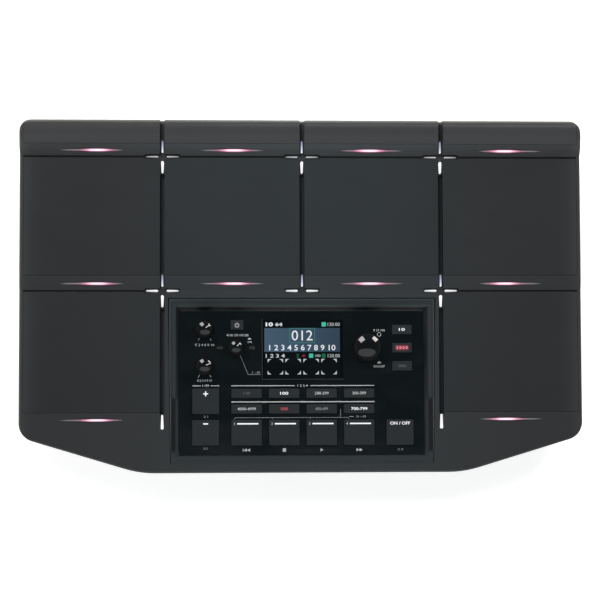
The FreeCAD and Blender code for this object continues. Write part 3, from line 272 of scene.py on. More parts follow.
def build_moulded_grain():
    """The spark-eroded grain of moulded plastic and rubber: a height, and a mask of its hollows."""
    tree, given, out = shader_group("moulded_grain", {"Grain size": 0.0003}, "Height", "Hollows")
    place = in_object(tree)
    density = maths(tree, "DIVIDE", 1.0, given["Grain size"])
    cells = node(
        tree, "TexVoronoi", {"Vector": place, "Scale": density, "Randomness": 1.0}, feature="SMOOTH_F1")
    cells.inputs["Smoothness"].default_value = 0.6
    specks = noise(tree, place, product(tree, density, 2.3), 2.0, 0.6)
    height = blend_value(tree, 0.5, cells.outputs["Distance"], specks)
    feed(tree, out, {"Height": height, "Hollows": remap(tree, height, 0.5, 0.25)})
    return tree


def build_tone_drift():
    """A colour that wanders a little over the piece, as moulded and rubbed surfaces do."""
    tree, given, out = shader_group(
        "tone_drift", {"Colour": (0.05, 0.05, 0.05, 1.0), "Patch size": 0.04, "Amount": 0.1}, "Colour")
    patches = noise(tree, in_object(tree), maths(tree, "DIVIDE", 1.0, given["Patch size"]), 4.0, 0.55, 0.4)
    drift = remap(tree, patches, 0.3, 0.7, -0.5, 0.5)
    share = maths(tree, "MULTIPLY_ADD", drift, given["Amount"], 1.0)
    shade = node(tree, "VectorMath", {0: given["Colour"], "Scale": share}, operation="SCALE")
    feed(tree, out, {"Colour": shade.outputs[0]})
    return tree


def build_edge_rub():
    """A mask of the outer edges, broken up where hands and cloths reach them less."""
    tree, given, out = shader_group("edge_rub", {"Reach": 0.0006, "Strength": 1.0}, "Mask")
    rounded = node(tree, "Bevel", {"Radius": given["Reach"]}, samples=6)
    normal = node(tree, "NewGeometry").outputs["Normal"]
    edge = remap(tree, along(tree, rounded.outputs[0], normal), 0.995, 0.86)
    breaks = remap(tree, noise(tree, in_object(tree), 260.0, 5.0, 0.7), 0.38, 0.62, 0.35, 1.0)
    mask = maths(tree, "MULTIPLY", product(tree, edge, breaks), given["Strength"], clamp=True)
    feed(tree, out, {"Mask": mask})
    return tree


def build_dust():
    """Sparse pale specks of dust and lint."""
    tree, given, out = shader_group("dust", {"Speck size": 0.0005, "Amount": 0.2}, "Mask")
    density = maths(tree, "DIVIDE", 0.25, given["Speck size"])
    specks = node(
        tree, "TexVoronoi", {"Vector": in_object(tree), "Scale": density, "Randomness": 1.0}).outputs
    spot = remap(tree, specks["Distance"], 0.13, 0.05)
    chosen = node(tree, "SeparateColor", {"Color": specks["Color"]}).outputs[0]
    shown = product(tree, spot, maths(tree, "GREATER_THAN", chosen, 0.72))
    feed(tree, out, {"Mask": maths(tree, "MULTIPLY", shown, given["Amount"], clamp=True)})
    return tree


def build_handling():
    """Faint smears of handling and wiping, for the roughness of glossy faces."""
    smear = {"Smear size": 0.02, "Roughness": 0.15, "Spread": 0.1}
    tree, given, out = shader_group("handling", smear, "Roughness")
    stretched = node(
        tree, "Mapping",
        {"Vector": in_object(tree), "Scale": (0.45, 1.0, 1.0), "Rotation": (0.0, 0.0, 0.5)}).outputs[0]
    smears = noise(tree, stretched, maths(tree, "DIVIDE", 1.0, given["Smear size"]), 6.0, 0.6, 1.2)
    added = product(tree, remap(tree, smears, 0.42, 0.68), given["Spread"])
    feed(tree, out, {"Roughness": maths(tree, "ADD", added, given["Roughness"], clamp=True)})
    return tree


def build_drawn_lines():
    """Fine lines along one direction, as drawn, rolled or brushed metal has."""
    tree, given, out = shader_group(
        "drawn_lines", {"Line width": 0.00015, "Contrast": 0.4}, "Height", "Shade")
    stretched = node(tree, "Mapping", {"Vector": in_object(tree), "Scale": (0.03, 1.0, 1.0)}).outputs[0]
    lines = noise(tree, stretched, maths(tree, "DIVIDE", 1.0, given["Line width"]), 3.0, 0.6)
    feed(tree, out, {"Height": lines, "Shade": product(tree, lines, given["Contrast"])})
    return tree


def build_deck_place():
    """Where a point lies on the deck, in metres: to the right, out from the middle, to the rear, and high."""
    tree, _, out = shader_group("deck_place", {}, "Across", "Outwards", "Rearward", "Height")
    place = in_object(tree)
    across = node(tree, "SeparateXYZ", {"Vector": place}).outputs["X"]
    feed(tree, out, {
        "Across": across, "Outwards": maths(tree, "ABSOLUTE", across),
        "Rearward": along(tree, place, tuple(deck_rear)), "Height": along(tree, place, tuple(deck_up))})
    return tree


def build_crown():
    """A mask of what faces up from the panel, and the weight of the polish there."""
    tree, given, out = shader_group("crown", {"Weight": 1.0}, "Mask", "Coat")
    normal = node(tree, "NewGeometry").outputs["Normal"]
    mask = remap(tree, along(tree, normal, tuple(panel_up)), 0.80, 0.88)
    feed(tree, out, {"Mask": mask, "Coat": product(tree, mask, given["Weight"])})
    return tree


GRAIN = build_moulded_grain()
DRIFT = build_tone_drift()
RUB = build_edge_rub()
DUST = build_dust()
HANDLING = build_handling()
LINES = build_drawn_lines()
DECK_PLACE = build_deck_place()
CROWN = build_crown()


def drifting(tree, colour, patch, amount):
    return fed(tree, DRIFT, {"Colour": colour, "Patch size": patch, "Amount": amount})["Colour"]


def smeared(tree, size, roughness, spread=0.1):
    feeds = {"Smear size": size, "Roughness": roughness, "Spread": spread}
    return fed(tree, HANDLING, feeds)["Roughness"]


def rubbed(tree, reach, strength):
    return fed(tree, RUB, {"Reach": reach, "Strength": strength})["Mask"]


def on_deck(tree):
    return fed(tree, DECK_PLACE, {})


def solid(colour, share=1.0, lift=0.0):
    """A colour with its alpha, made a share paler or darker."""
    return (*[min(1.0, c * share + lift) for c in colour], 1.0)


def empty_tree(owner):
    owner.use_nodes = True
    owner.node_tree.nodes.clear()
    return owner.node_tree


def new_material(name):
    """A material with its plain shader, kept under its name. Gives back its tree and the shader."""
    MATERIALS[name] = bpy.data.materials.new(name)
    tree = empty_tree(MATERIALS[name])
    surface = node(tree, "BsdfPrincipled")
    node(tree, "OutputMaterial", {"Surface": surface.outputs[0]})
    return tree, surface


def moulded(
        name, colour, roughness, bump, grain=0.0003, drift=0.12, patch=0.05, rub=0.5, rub_reach=0.0006,
        rub_colour=None, dust=0.12, spread=0.08, specular=0.5, coat=0.0, middle=None, painted_light=None,
        side_roughness=None):
    """Moulded plastic or rubber: a base colour that drifts, grain, rubbed edges, dust and smears.

    A middle colour is the one towards the middle of the deck, a painted light that makes the middle paler and
    cooler. Painted light and shade are laid over the colour by place.
    A side roughness dulls what slopes away from the panel's face, and the coat stays on its crown.
    """
    tree, surface = new_material(name)
    tone = solid(colour)
    # painted light: the colour turns paler and cooler towards the middle of the deck
    if middle:
        outwards = remap(tree, on_deck(tree)["Outwards"], *LIT_MIDDLE_TO_ENDS)
        tone = blend(tree, outwards, solid(middle), tone)
    relief = fed(tree, GRAIN, {"Grain size": grain})
    darker = blend(
        tree, product(tree, relief["Hollows"], 0.35), drifting(tree, tone, patch, drift), solid(colour, 0.55))
    pale = solid(rub_colour) if rub_colour else solid(colour, 2.2, 0.01)
    worn = blend(tree, rubbed(tree, rub_reach, rub), darker, pale)
    # painted light and shade laid over the colour by place
    if painted_light:
        worn = tinted(tree, worn, painted_light(tree))
    specks = fed(tree, DUST, {"Speck size": 0.0005, "Amount": dust})["Mask"]
    dull = smeared(tree, patch * 0.6, roughness, spread)
    polish = coat
    if side_roughness:
        crown = fed(tree, CROWN, {"Weight": coat})
        dull = blend_value(tree, crown["Mask"], side_roughness, dull)
        polish = crown["Coat"]
    raised = node(tree, "Bump", {"Height": relief["Height"], "Strength": bump, "Distance": grain * 0.4})
    feed(tree, surface, {
        "Base Color": blend(tree, specks, worn, (0.35, 0.35, 0.34, 1.0)), "Roughness": dull,
        "Specular IOR Level": specular, "Coat Weight": polish, "Coat Roughness": 0.04,
        "Normal": raised.outputs[0]})


def metal(name, colour, roughness, contrast):
    """Drawn or plated metal with fine lines, stains and bright edges."""
    tree, surface = new_material(name)
    lines = fed(tree, LINES, {"Line width": 0.00015, "Contrast": contrast})
    lined = blend(tree, lines["Shade"], drifting(tree, solid(colour), 0.02, 0.25), solid(colour, 0.6))
    bright = blend(tree, rubbed(tree, 0.0004, 0.4), lined, solid(colour, 1.3, 0.05))
    raised = node(tree, "Bump", {"Height": lines["Height"], "Strength": 0.1, "Distance": 0.00003})
    feed(tree, surface, {
        "Base Color": bright, "Metallic": 1.0, "Roughness": smeared(tree, 0.012, roughness, 0.18),
        "Normal": raised.outputs[0]})


def glowing(name, glow, strength, base, base_patch, roughness, smear=0.01):
    """A lit surface: its glow, over a base that shows where the glow is weak."""
    tree, surface = new_material(name)
    feed(tree, surface, {
        "Emission Color": glow(tree), "Emission Strength": strength,
        "Base Color": drifting(tree, solid(base), base_patch, 0.2),
        "Roughness": smeared(tree, smear, roughness)})


def lit(name, colour, strength, base):
    """A lit print, which glows a little unevenly."""
    glowing(name, lambda tree: drifting(tree, solid(colour), 0.004, 0.15), strength, base, 0.002, 0.4)


def light_guide(name, glow, strength, base, roughness):
    """A milky light guide that shows a glow from below."""
    def uneven(tree):
        return tinted(tree, glow(tree), drifting(tree, WHITE, 0.006, 0.10))

    glowing(name, uneven, strength, base, 0.003, roughness)


def screen_picture(name, colour, strength, shade=0.0):
    """A colour of the display's picture, made of lit dots in rows and brighter to one side by shade."""
    def dots(tree):
        parts = node(tree, "SeparateXYZ", {"Vector": in_object(tree)}).outputs
        waves = [
            maths(tree, "SINE", product(tree, parts[axis], 2 * math.pi / DOT_PITCH)) for axis in ("X", "Y")]
        share = remap(tree, picked(tree, "MAXIMUM", *waves), -1.0, 0.2, 0.75, 1.0)
        falloff = remap(tree, parts["X"], -0.03, 0.03, 1.0 + shade, 1.0 - shade)
        level = product(tree, share, falloff)
        return node(tree, "VectorMath", {0: colour, "Scale": level}, operation="SCALE").outputs[0]

    glowing(name, dots, strength, (0.0012, 0.0016, 0.0022), 0.01, 0.1, 0.02)


def nearest(tree, value, lines):
    """Distance from a value to the nearest of several lines."""
    gaps = [maths(tree, "ABSOLUTE", maths(tree, "SUBTRACT", value, line)) for line in lines]
    return picked(tree, "MINIMUM", *gaps)


def colour_ramp(tree, value, stops):
    """Colours at positions from 0 to 1."""
    ramp = node(tree, "ValToRGB", {"Fac": value})
    elements = ramp.color_ramp.elements
    for element, (position, colour) in zip(elements, (stops[0], stops[-1])):
        element.position, element.color = position, solid(colour)
    for position, colour in stops[1:-1]:
        elements.new(position).color = solid(colour)
    return ramp.outputs["Color"]


def share_ramp(tree, value, low, high, levels):
    """A share that runs through the given levels between two places."""
    stops = [(at, (level / TOP_SHARE,) * 3) for at, level in levels]
    return product(tree, colour_ramp(tree, remap(tree, value, low, high), stops), TOP_SHARE)


def tone_along(tree, place, run):
    label, low, high, levels = run
    return share_ramp(tree, place[label], low, high, levels)


def pad_glow(tree):
    """Rosy white over the lamp in the middle of each slit, magenta round it and grey to the slit's ends."""
    place = on_deck(tree)
    away = nearest(tree, place["Outwards"], LAMP_COLUMNS)
    aside = nearest(tree, place["Rearward"], SLIT_ROWS)
    wide = remap(tree, away, 0.004, 0.016, 0.00120, 0.00072)
    lengthwise = colour_ramp(tree, remap(tree, away, 0.0, 0.028), GLOW_ALONG)
    return tinted(tree, lengthwise, colour_ramp(tree, maths(tree, "DIVIDE", aside, wide), GLOW_ACROSS))


def dash_glow(tree):
    """White towards the front, greyer at the sides and bluish towards the rear, and dimmer at the tips."""
    place = on_deck(tree)
    across = nearest(tree, place["Outwards"], (0.0, COLUMN_LINE))
    behind = maths(tree, "GREATER_THAN", place["Rearward"], sum(CROSS_ROWS) / 2)
    row = maths(tree, "MULTIPLY_ADD", behind, CROSS_ROWS[1] - CROSS_ROWS[0], CROSS_ROWS[0])
    beyond = maths(tree, "SUBTRACT", place["Rearward"], row)

    def fading(distance, stops):
        return colour_ramp(tree, remap(tree, distance, DASH_START, DASH_END), stops)

    side = blend(tree, behind, fading(across, FRONT_SIDE_DASH), fading(across, REAR_SIDE_DASH))
    sideways = maths(tree, "GREATER_THAN", across, SIDE_DASH_FROM)
    rearwards = maths(tree, "GREATER_THAN", beyond, REARWARD_DASH_FROM)
    flat = blend(tree, sideways, WHITE, side)
    colour = blend(tree, rearwards, flat, fading(beyond, REARWARD_DASH))
    # the glow fills a front dash and only the core of the others, which is thinner in the side dashes
    aside = maths(tree, "MINIMUM", across, maths(tree, "ABSOLUTE", beyond))
    far_side = product(tree, sideways, behind)
    aside = maths(tree, "MULTIPLY_ADD", sideways, SIDE_THINNER, aside)
    aside = maths(tree, "MULTIPLY_ADD", far_side, FAR_SIDE_THINNER, aside)
    core = remap(tree, aside, CORE_EDGE, CORE_END, 1.0, 0.06)
    narrow = picked(tree, "MAXIMUM", rearwards, far_side, product(tree, sideways, 0.75))
    return tinted(tree, colour, grey(tree, blend_value(tree, narrow, 1.0, core)))


def bezel_painted_light(tree):
    """Painted highlights and shade from the bezel's seam inwards: a bright lip, a band, a second lip and the
    wall over the panel.

    Far enough to the front the painted reflections change: the band of the two sides turns dark and the wall
    pale.
    """
    place = on_deck(tree)
    rearward = place["Rearward"]
    from_side = maths(tree, "SUBTRACT", BEZEL_SIDE, place["Outwards"])
    from_rear = maths(tree, "SUBTRACT", BEZEL_REAR, rearward)

    def inwards(distance, steps):
        levels = [(at / STEP_REACH, level) for at, level in steps]
        return share_ramp(tree, distance, 0.0, STEP_REACH * MM, levels)

    turned = remap(tree, rearward, BEZEL_TURN - 0.001, BEZEL_TURN + 0.001)
    side = blend_value(tree, turned, inwards(from_side, FRONT_PAINTED_STEPS), inwards(from_side, SIDE_PAINTED_STEPS))
    on_side = maths(tree, "LESS_THAN", from_side, from_rear)
    level = blend_value(tree, on_side, inwards(from_rear, REAR_PAINTED_STEPS), side)
    plain = remap(tree, rearward, BEZEL_PLAIN - 0.002, BEZEL_PLAIN + 0.001)
    return grey(tree, blend_value(tree, plain, 1.0, level))


def bar_painted_light(tree):
    """Painted shade and highlight on the rear bars: darker towards their rear and paler towards the front,
    and a painted highlight along their rear edge that grows to the right.
    """
    place = on_deck(tree)
    painted_shade, edge, right = [tone_along(tree, place, run) for run in (BAR_PAINTED_SHADE, BAR_EDGE_HIGHLIGHT, BAR_HIGHLIGHT_ALONG)]
    return grey(tree, product(tree, painted_shade, maths(tree, "MULTIPLY_ADD", edge, right, 1.0)))


def pad_painted_light(tree):
    """Painted light: the pads are paler close to the deck's left and right ends."""
    return grey(tree, tone_along(tree, on_deck(tree), PAD_ENDS_LIGHT))


def case_painted_light(tree):
    """Painted highlights: the case is paler at its rounded rim, most of all at the rear, and before the rear
    bars.
    """
    place = on_deck(tree)

    def within(label, low, high):
        return remap(tree, place[label], low, high)

    rim_highlights = [
        blend(tree, product(tree, within(*reach), within(*height)), WHITE, tone)
        for reach, height, tone in (REAR_RIM_HIGHLIGHT, SIDE_RIM_HIGHLIGHT)]
    strip_light = blend_value(tree, within(*FOOT_OF_BARS), 1.0, tone_along(tree, place, FRONT_OF_BARS_LIGHT))
    return tinted(tree, tinted(tree, *rim_highlights), grey(tree, strip_light))


# The finishes of the frame's pieces

moulded(
    "case_plastic", (0.0200, 0.0214, 0.0232), 0.52, grain=0.00035, bump=0.30, drift=0.10, patch=0.09,
    rub=0.30, dust=0.08, specular=0.30, middle=(0.0250, 0.0296, 0.0325), painted_light=case_painted_light)
for name, colour, roughness, specular, middle, painted_light in (
        ("pad_rubber", (0.0164, 0.0176, 0.0196), 0.62, 0.25, (0.0186, 0.0240, 0.0268), pad_painted_light),
        ("bar_rubber", (0.0350, 0.0360, 0.0385), 0.58, 0.28, None, bar_painted_light)):
    moulded(
        name, colour, roughness, grain=0.00045, bump=0.35, drift=0.10, patch=0.07, rub=0.20, dust=0.06,
        specular=specular, middle=middle, painted_light=painted_light)
moulded(
    "panel_gloss", (0.0030, 0.0046, 0.0053), 0.11, grain=0.0009, bump=0.02, drift=0.2, rub_reach=0.0003,
    rub_colour=(0.04, 0.045, 0.047), dust=0.08, spread=0.10)
moulded(
    "bezel_plastic", (0.0275, 0.0335, 0.0378), 0.52, bump=0.12, drift=0.10, patch=0.06, rub=0.6,
    rub_colour=(0.036, 0.040, 0.043), dust=0.06, specular=0.15, painted_light=bezel_painted_light)
moulded(
    "button_rubber", (0.0120, 0.0160, 0.0186), 0.55, grain=0.00022, bump=0.22, drift=0.14, patch=0.012,
    rub=0.4, rub_reach=0.0004, dust=0.05, specular=0.28)
moulded(
    "knob_black", (0.0040, 0.0043, 0.0046), 0.08, grain=0.0005, bump=0.02, drift=0.2, patch=0.008,
    rub_reach=0.00025, rub_colour=(0.02, 0.021, 0.022), dust=0.04, coat=1.0, side_roughness=0.60,
    specular=0.08)
moulded(
    "display_glass", (0.0012, 0.0015, 0.0020), 0.06, grain=0.0009, bump=0.01, drift=0.3, patch=0.03,
    rub=0.3, rub_reach=0.0003, rub_colour=(0.03, 0.03, 0.03), dust=0.05)
moulded(
    "sheet_steel", (0.028, 0.029, 0.031), 0.45, bump=0.30, rub=0.7, rub_colour=(0.30, 0.30, 0.31),
    dust=0.15)
moulded(
    "board_green", (0.012, 0.085, 0.035), 0.30, grain=0.0008, bump=0.10, drift=0.3, patch=0.01, rub=0.4,
    rub_colour=(0.30, 0.28, 0.15), dust=0.1)
moulded(
    "foam_grey", (0.09, 0.09, 0.095), 0.85, grain=0.0007, bump=0.9, drift=0.2, patch=0.02, rub=0.2,
    dust=0.1, specular=0.2)
moulded(
    "jack_plastic", (0.012, 0.012, 0.013), 0.35, grain=0.0002, bump=0.15, drift=0.15, patch=0.02, rub=0.6)
moulded(
    "foot_rubber", (0.016, 0.016, 0.017), 0.75, grain=0.0005, bump=0.45, drift=0.2, patch=0.01, rub=0.3,
    dust=0.25, specular=0.3)
metal("zinc_steel", (0.62, 0.63, 0.62), 0.35, 0.35)
metal("brass", (0.72, 0.52, 0.24), 0.28, 0.3)
metal("screw_steel", (0.12, 0.12, 0.125), 0.32, 0.3)
metal("control_metal", (0.55, 0.55, 0.54), 0.30, 0.3)
light_guide("light_guide", dash_glow, 1.0, (0.040, 0.040, 0.042), 0.35)
light_guide("pad_light_guide", pad_glow, 1.35, (0.030, 0.029, 0.030), 0.30)
for part in nodes.values():
    for slot in part.material_slots:
        slot.material = MATERIALS[slot.material.name]
for index in range(1, 5):
    nodes[f"bar_pad_{index}"].material_slots[0].material = MATERIALS["bar_rubber"]

# Inks, and the colours of the lit prints and of the display's picture
for name, colour, roughness in (
        ("panel_ink", (0.50, 0.51, 0.52), 0.5), ("grey_ink", (0.24, 0.245, 0.25), 0.5),
        ("faint_ink", (0.085, 0.093, 0.098), 0.5), ("window_trim", (0.030, 0.028, 0.025), 0.4)):
    moulded(name, colour, roughness, grain=0.0001, bump=0.2, patch=0.004, rub=0.0, dust=0.0)
moulded(
    "pointer_white", (0.52, 0.53, 0.54), 0.4, grain=0.0001, bump=0.2, drift=0.08, patch=0.003, rub=0.2,
    dust=0.0)
lit("white_light", (0.93, 0.95, 1.0), 0.75, (0.25, 0.25, 0.26))
lit("red_light", (1.0, 0.36, 0.44), 0.85, (0.3, 0.06, 0.08))
lit("red_dim", (0.55, 0.05, 0.08), 0.5, (0.2, 0.04, 0.05))
lit("red_haze", (0.24, 0.012, 0.035), 0.62, (0.04, 0.012, 0.014))
for name, colour, strength in (
        ("white", (0.90, 0.95, 1.0), 0.9), ("grey", (0.60, 0.65, 0.67), 0.9),
        ("teal", (0.07, 0.55, 0.40), 0.9), ("frame", (0.055, 0.22, 0.22), 0.9),
        ("green", (0.01, 0.16, 0.07), 0.8), ("red", (0.28, 0.02, 0.04), 0.8),
        ("dark", (0.0004, 0.0007, 0.0011), 1.0)):
    screen_picture("screen_" + name, colour, strength)
screen_picture("screen_band", (0.045, 0.082, 0.122), 0.95, shade=0.30)


# Drawing in millimetres on a plane. Prints are sunk a little into what they lie on.

PRINT_LOW = -0.02
PRINT_HIGH = 0.04


def raise_faces(bm, faces, high):
    """Gives flat faces their thickness."""
    grown = bmesh.ops.extrude_face_region(bm, geom=faces)
    tops = [item for item in grown["geom"] if isinstance(item, bmesh.types.BMVert)]
    bmesh.ops.translate(bm, verts=tops, vec=(0.0, 0.0, high))


def block(bm, middle, size, rounding, segments=3, turn=0.0, upright=False):
    """A block with its edges rounded, or only its upright ones."""
    matrix = Matrix.Translation(middle) @ Matrix.Rotation(turn, 4, "Z") @ Matrix.Diagonal((*size, 1.0))
    made = bmesh.ops.create_cube(bm, size=1.0, matrix=matrix)
    edges = {edge for vert in made["verts"] for edge in vert.link_edges}
    if upright:
        edges = {edge for edge in edges if abs(edge.verts[0].co.z - edge.verts[1].co.z) > size[2] / 2}
    bmesh.ops.bevel(
        bm, geom=list(edges), offset=rounding, segments=segments, profile=0.5, affect="EDGES", material=-1)


def make_object(name, bm, material):
    mesh = bpy.data.meshes.new(name)
    bm.to_mesh(mesh)
    bm.free()
    mesh.materials.append(material)
    made = bpy.data.objects.new(name, mesh)
    scene.collection.objects.link(made)
    return made


def make_piece(name, bm, material, body="root", matrix=PANEL):
    """Turns a drawing into a piece that sits in place and rides on its body."""
    bmesh.ops.transform(bm, matrix=matrix, verts=bm.verts)
    bmesh.ops.recalc_face_normals(bm, faces=bm.faces)
    piece = make_object(name, bm, MATERIALS[material])
    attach(piece, body)
    return piece


class Drawing:
    """A drawing for one piece of a body. Its shapes are drawn from a point and on a level of its own."""

    def __init__(self, x=0.0, y=0.0, level=0.0, body="root"):
        self.bm = bmesh.new()
        self.x, self.y, self.body = x, y, body
        self.low = level + PRINT_LOW
        self.thick = PRINT_HIGH - PRINT_LOW

    def bar(self, x, y, wide, deep, rounding=None, turn=0.0):
        """A printed bar with rounded corners."""
        block(
            self.bm, (self.x + x, self.y + y, self.low + self.thick / 2), (wide, deep, self.thick),
            rounding or min(wide * 0.15, deep * 0.15, 0.2), turn=turn, upright=True)

    def line(self, points, wide):
        """A printed line through several points."""
        for (x, y), (next_x, next_y) in zip(points, points[1:]):
            dx, dy = next_x - x, next_y - y
            self.bar(
                x + dx / 2, y + dy / 2, math.hypot(dx, dy) + wide, wide, wide * 0.45, math.atan2(dy, dx))

    def shape(self, points):
        """A flat printed shape from its corners, in order."""
        corners = [self.bm.verts.new((self.x + x, self.y + y, self.low)) for x, y in points]
        raise_faces(self.bm, [self.bm.faces.new(corners)], self.thick)

    def spot(self, x, y, radius):
        """A printed round spot."""
        matrix = Matrix.Translation((self.x + x, self.y + y, self.low))
        made = bmesh.ops.create_circle(self.bm, cap_ends=True, segments=24, radius=radius, matrix=matrix)
        raise_faces(self.bm, list(made["verts"][0].link_faces), self.thick)

    def half_spot(self, x, y, radius):
        """The rear half of a round spot."""
        angles = [math.pi * step / 10 for step in range(11)]
        self.shape([(x + radius * math.cos(angle), y + radius * math.sin(angle)) for angle in angles])

    def ring(self, x, y, radius, wide, start=0.0, sweep=360.0):
        """A printed ring, or part of one. Angles are in degrees from the right."""
        middle = Vector((self.x + x, self.y + y, self.low))
        corners = [
            self.bm.verts.new(middle + Vector((radius + out * wide / 2, 0.0, up * self.thick)))
            for out, up in ((-1, 0), (1, 0), (1, 1), (-1, 1))]
        face = self.bm.faces.new(corners)
        profile = corners + list(face.edges)
        closed = sweep >= 360.0
        if closed:
            self.bm.faces.remove(face)
        else:
            profile.append(face)
        turn = Matrix.Rotation(math.radians(start), 3, "Z")
        bmesh.ops.rotate(self.bm, verts=corners, cent=middle, matrix=turn)
        bmesh.ops.spin(
            self.bm, geom=profile, cent=middle, axis=(0, 0, 1), angle=math.radians(sweep),
            steps=max(8, int(sweep / 10)), use_merge=closed, use_normal_flip=False)

    def figures(self, text, x, y, tall, wide=None, bold=0.0, hold=0.5):
        """Plain figures of a given height. Hold is the share of their width that lies left of x."""
        curve = bpy.data.curves.new("figures", "FONT")
        curve.body = text
        curve.offset = bold
        curve.resolution_u = 3
        holder = bpy.data.objects.new("figures", curve)
        scene.collection.objects.link(holder)
        bpy.context.view_layer.update()
        mesh = bpy.data.meshes.new_from_object(
            holder.evaluated_get(bpy.context.evaluated_depsgraph_get()))
        bpy.data.objects.remove(holder)
        bpy.data.curves.remove(curve)
        flat = bmesh.new()
        flat.from_mesh(mesh)
        bmesh.ops.remove_doubles(flat, verts=flat.verts, dist=1e-5)
        low, high = corners_of([vert.co for vert in flat.verts])
        scale_y = tall / (high.y - low.y)
        scale_x = wide / (high.x - low.x) if wide else scale_y
        held = Vector((low.x + (high.x - low.x) * hold, (low.y + high.y) / 2, 0.0))
        bmesh.ops.translate(flat, verts=flat.verts, vec=-held)
        bmesh.ops.scale(flat, verts=flat.verts, vec=(scale_x, scale_y, 1.0))
        bmesh.ops.translate(flat, verts=flat.verts, vec=(self.x + x, self.y + y, self.low))
        raise_faces(flat, list(flat.faces), self.thick)
        flat.to_mesh(mesh)
        flat.free()
        self.bm.from_mesh(mesh)
        bpy.data.meshes.remove(mesh)

    def piece(self, name, ink, slot="panel_gloss"):
        make_piece(name, self.bm, ink, self.body)


# Places of the panel's prints, from the panel's line of knobs
keys = {name: on_panel(name) for name in nodes if name.endswith("_button") or "button_" in name}
first_mode, last_mode = keys["mode_button_1"], keys["mode_button_4"]
assign_keys = [keys[f"assign_button_{index}"] for index in range(1, 5)]
KEYS_LEFT = first_mode[0] - first_mode[2] / 2
KEYS_RIGHT = last_mode[0] + last_mode[2] / 2
MODE_LINE = first_mode[1] + 5.8
ROW_LINE = (first_mode[1] + keys["function_button_1"][1]) / 2 - 0.6
BRACKET_LINE = -53.0
GUIDE_LINE = -20.2
MODE_WIDE, ROW_WIDE, KIT_WIDE, FINE = 0.62, 0.78, 0.66, 0.34
ICON_ROW = -77.5
MODE_LABEL = (-5.6, 6.3)
KIT_LABEL = keys["kit_plus_button"][0]


def print_lines():
    """The lines that group the keys, and the guide line from the metronome knob to the display."""
    art = Drawing()
    for left, right in ((KEYS_LEFT, MODE_LABEL[0]), (MODE_LABEL[1], KEYS_RIGHT)):
        art.bar((left + right) / 2, MODE_LINE, right - left, MODE_WIDE)
    art.bar((KEYS_LEFT + KEYS_RIGHT) / 2, ROW_LINE, KEYS_RIGHT - KEYS_LEFT, ROW_WIDE)
    for side in (-1, 1):
        art.bar(KIT_LABEL + side * 6.95, MODE_LINE, 6.4, KIT_WIDE)
    art.piece("panel_lines", "panel_ink")
    art = Drawing()
    tips = [key[0] - 8.6 for key in assign_keys]
    art.line(
        [(tips[0] - 0.9, BRACKET_LINE - 1.1), (tips[0], BRACKET_LINE), (tips[3], BRACKET_LINE),
         (tips[3] + 0.9, BRACKET_LINE - 1.1)], FINE)
    for tip in tips[1:3]:
        art.line([(tip, BRACKET_LINE), (tip - 0.3, BRACKET_LINE - 1.0)], FINE)
    riser = (keys["function_button_3"][0] + keys["function_button_4"][0]) / 2
    art.line([(riser, BRACKET_LINE), (riser, BRACKET_LINE + 6.2)], FINE)
    x = on_panel("metronome_knob")[0]
    art.line([(x + 3.2, -5.6), (x + 9.2, GUIDE_LINE), (x + 18.6, GUIDE_LINE)], FINE)
    art.piece("panel_brackets", "grey_ink")


def print_dials():
    """End ticks and figures of the two volume knobs and of the metronome knob."""
    ticks, figures = Drawing(), Drawing()
    lean = math.radians(31.0)
    for name, wide, ahead in (("main_volume_knob", 14.6, 11.6), ("phones_knob", 11.2, 10.7)):
        x, y = on_panel(name)[:2]
        for side in (-1, 1):
            ticks.line([(x + side * r * math.sin(lean), y - r * math.cos(lean)) for r in (8.0, 9.4)], 0.4)
        figures.figures("0 2 4 6 8 10", x, y - ahead, 1.9, wide, 0.03)
    x, y = on_panel("metronome_knob")[:2]
    figures.figures("40 80 120 160 200", x + 1.1, y + 9.7, 1.75, 16.8, 0.02)
    ticks.piece("dial_ticks", "panel_ink")
    figures.piece("dial_figures", "panel_ink")


def print_symbols():
    """The small figures and symbols round the value knob, over the keys and in front of them."""
    art = Drawing(*on_panel("metronome_knob")[:2])
    art.half_spot(10.3, 6.4, 1.25)
    art.figures("ON", 10.3, 4.5, 1.5, bold=0.02)
    art.x, art.y = on_panel("value_knob")[:2]
    art.ring(9.4, 10.2, 1.35, 0.42)
    art.figures("0 50 100", 9.4, 13.3, 1.75, 8.8, 0.015)
    art.half_spot(9.3, -12.0, 1.5)
    art.figures("ON/OFF", 9.3, -14.2, 1.75, 8.6, 0.015)
    art.x = art.y = 0.0
    art.figures("1-99", KIT_LABEL, MODE_LINE, 1.9, 5.2, 0.04)
    art.figures("1 2 3 4", sum(MODE_LABEL) / 2, MODE_LINE, 1.7, 7.8, 0.015)
    art.piece("panel_figures", "panel_ink")
    art = Drawing()
    x, y = on_panel("metronome_knob")[:2]
    last = keys["function_button_4"][0]
    art.figures("1-8", x + 15.2, GUIDE_LINE + 1.5, 1.5, 6.0)
    art.figures("21", KIT_LABEL, -52.1, 1.6, 3.4)
    art.figures("22", keys["kit_minus_button"][0], ICON_ROW + 1.4, 1.5, 3.4)
    art.figures("23", keys["sound_off_button"][0], ICON_ROW + 0.2, 1.5, 4.6)
    art.bar(last - 6.0, -52.3, 3.6, 0.5)
    art.figures("5-8", last + 1.4, -52.3, 1.6, 7.6)
    art.piece("panel_small_figures", "grey_ink")
    faint = Drawing(x, y)
    for side in (-1, 1):
        faint.figures("00", side * 12.2, 0.2, 2.3, 4.6, 0.04)
    faint.piece("panel_faint_figures", "window_trim")


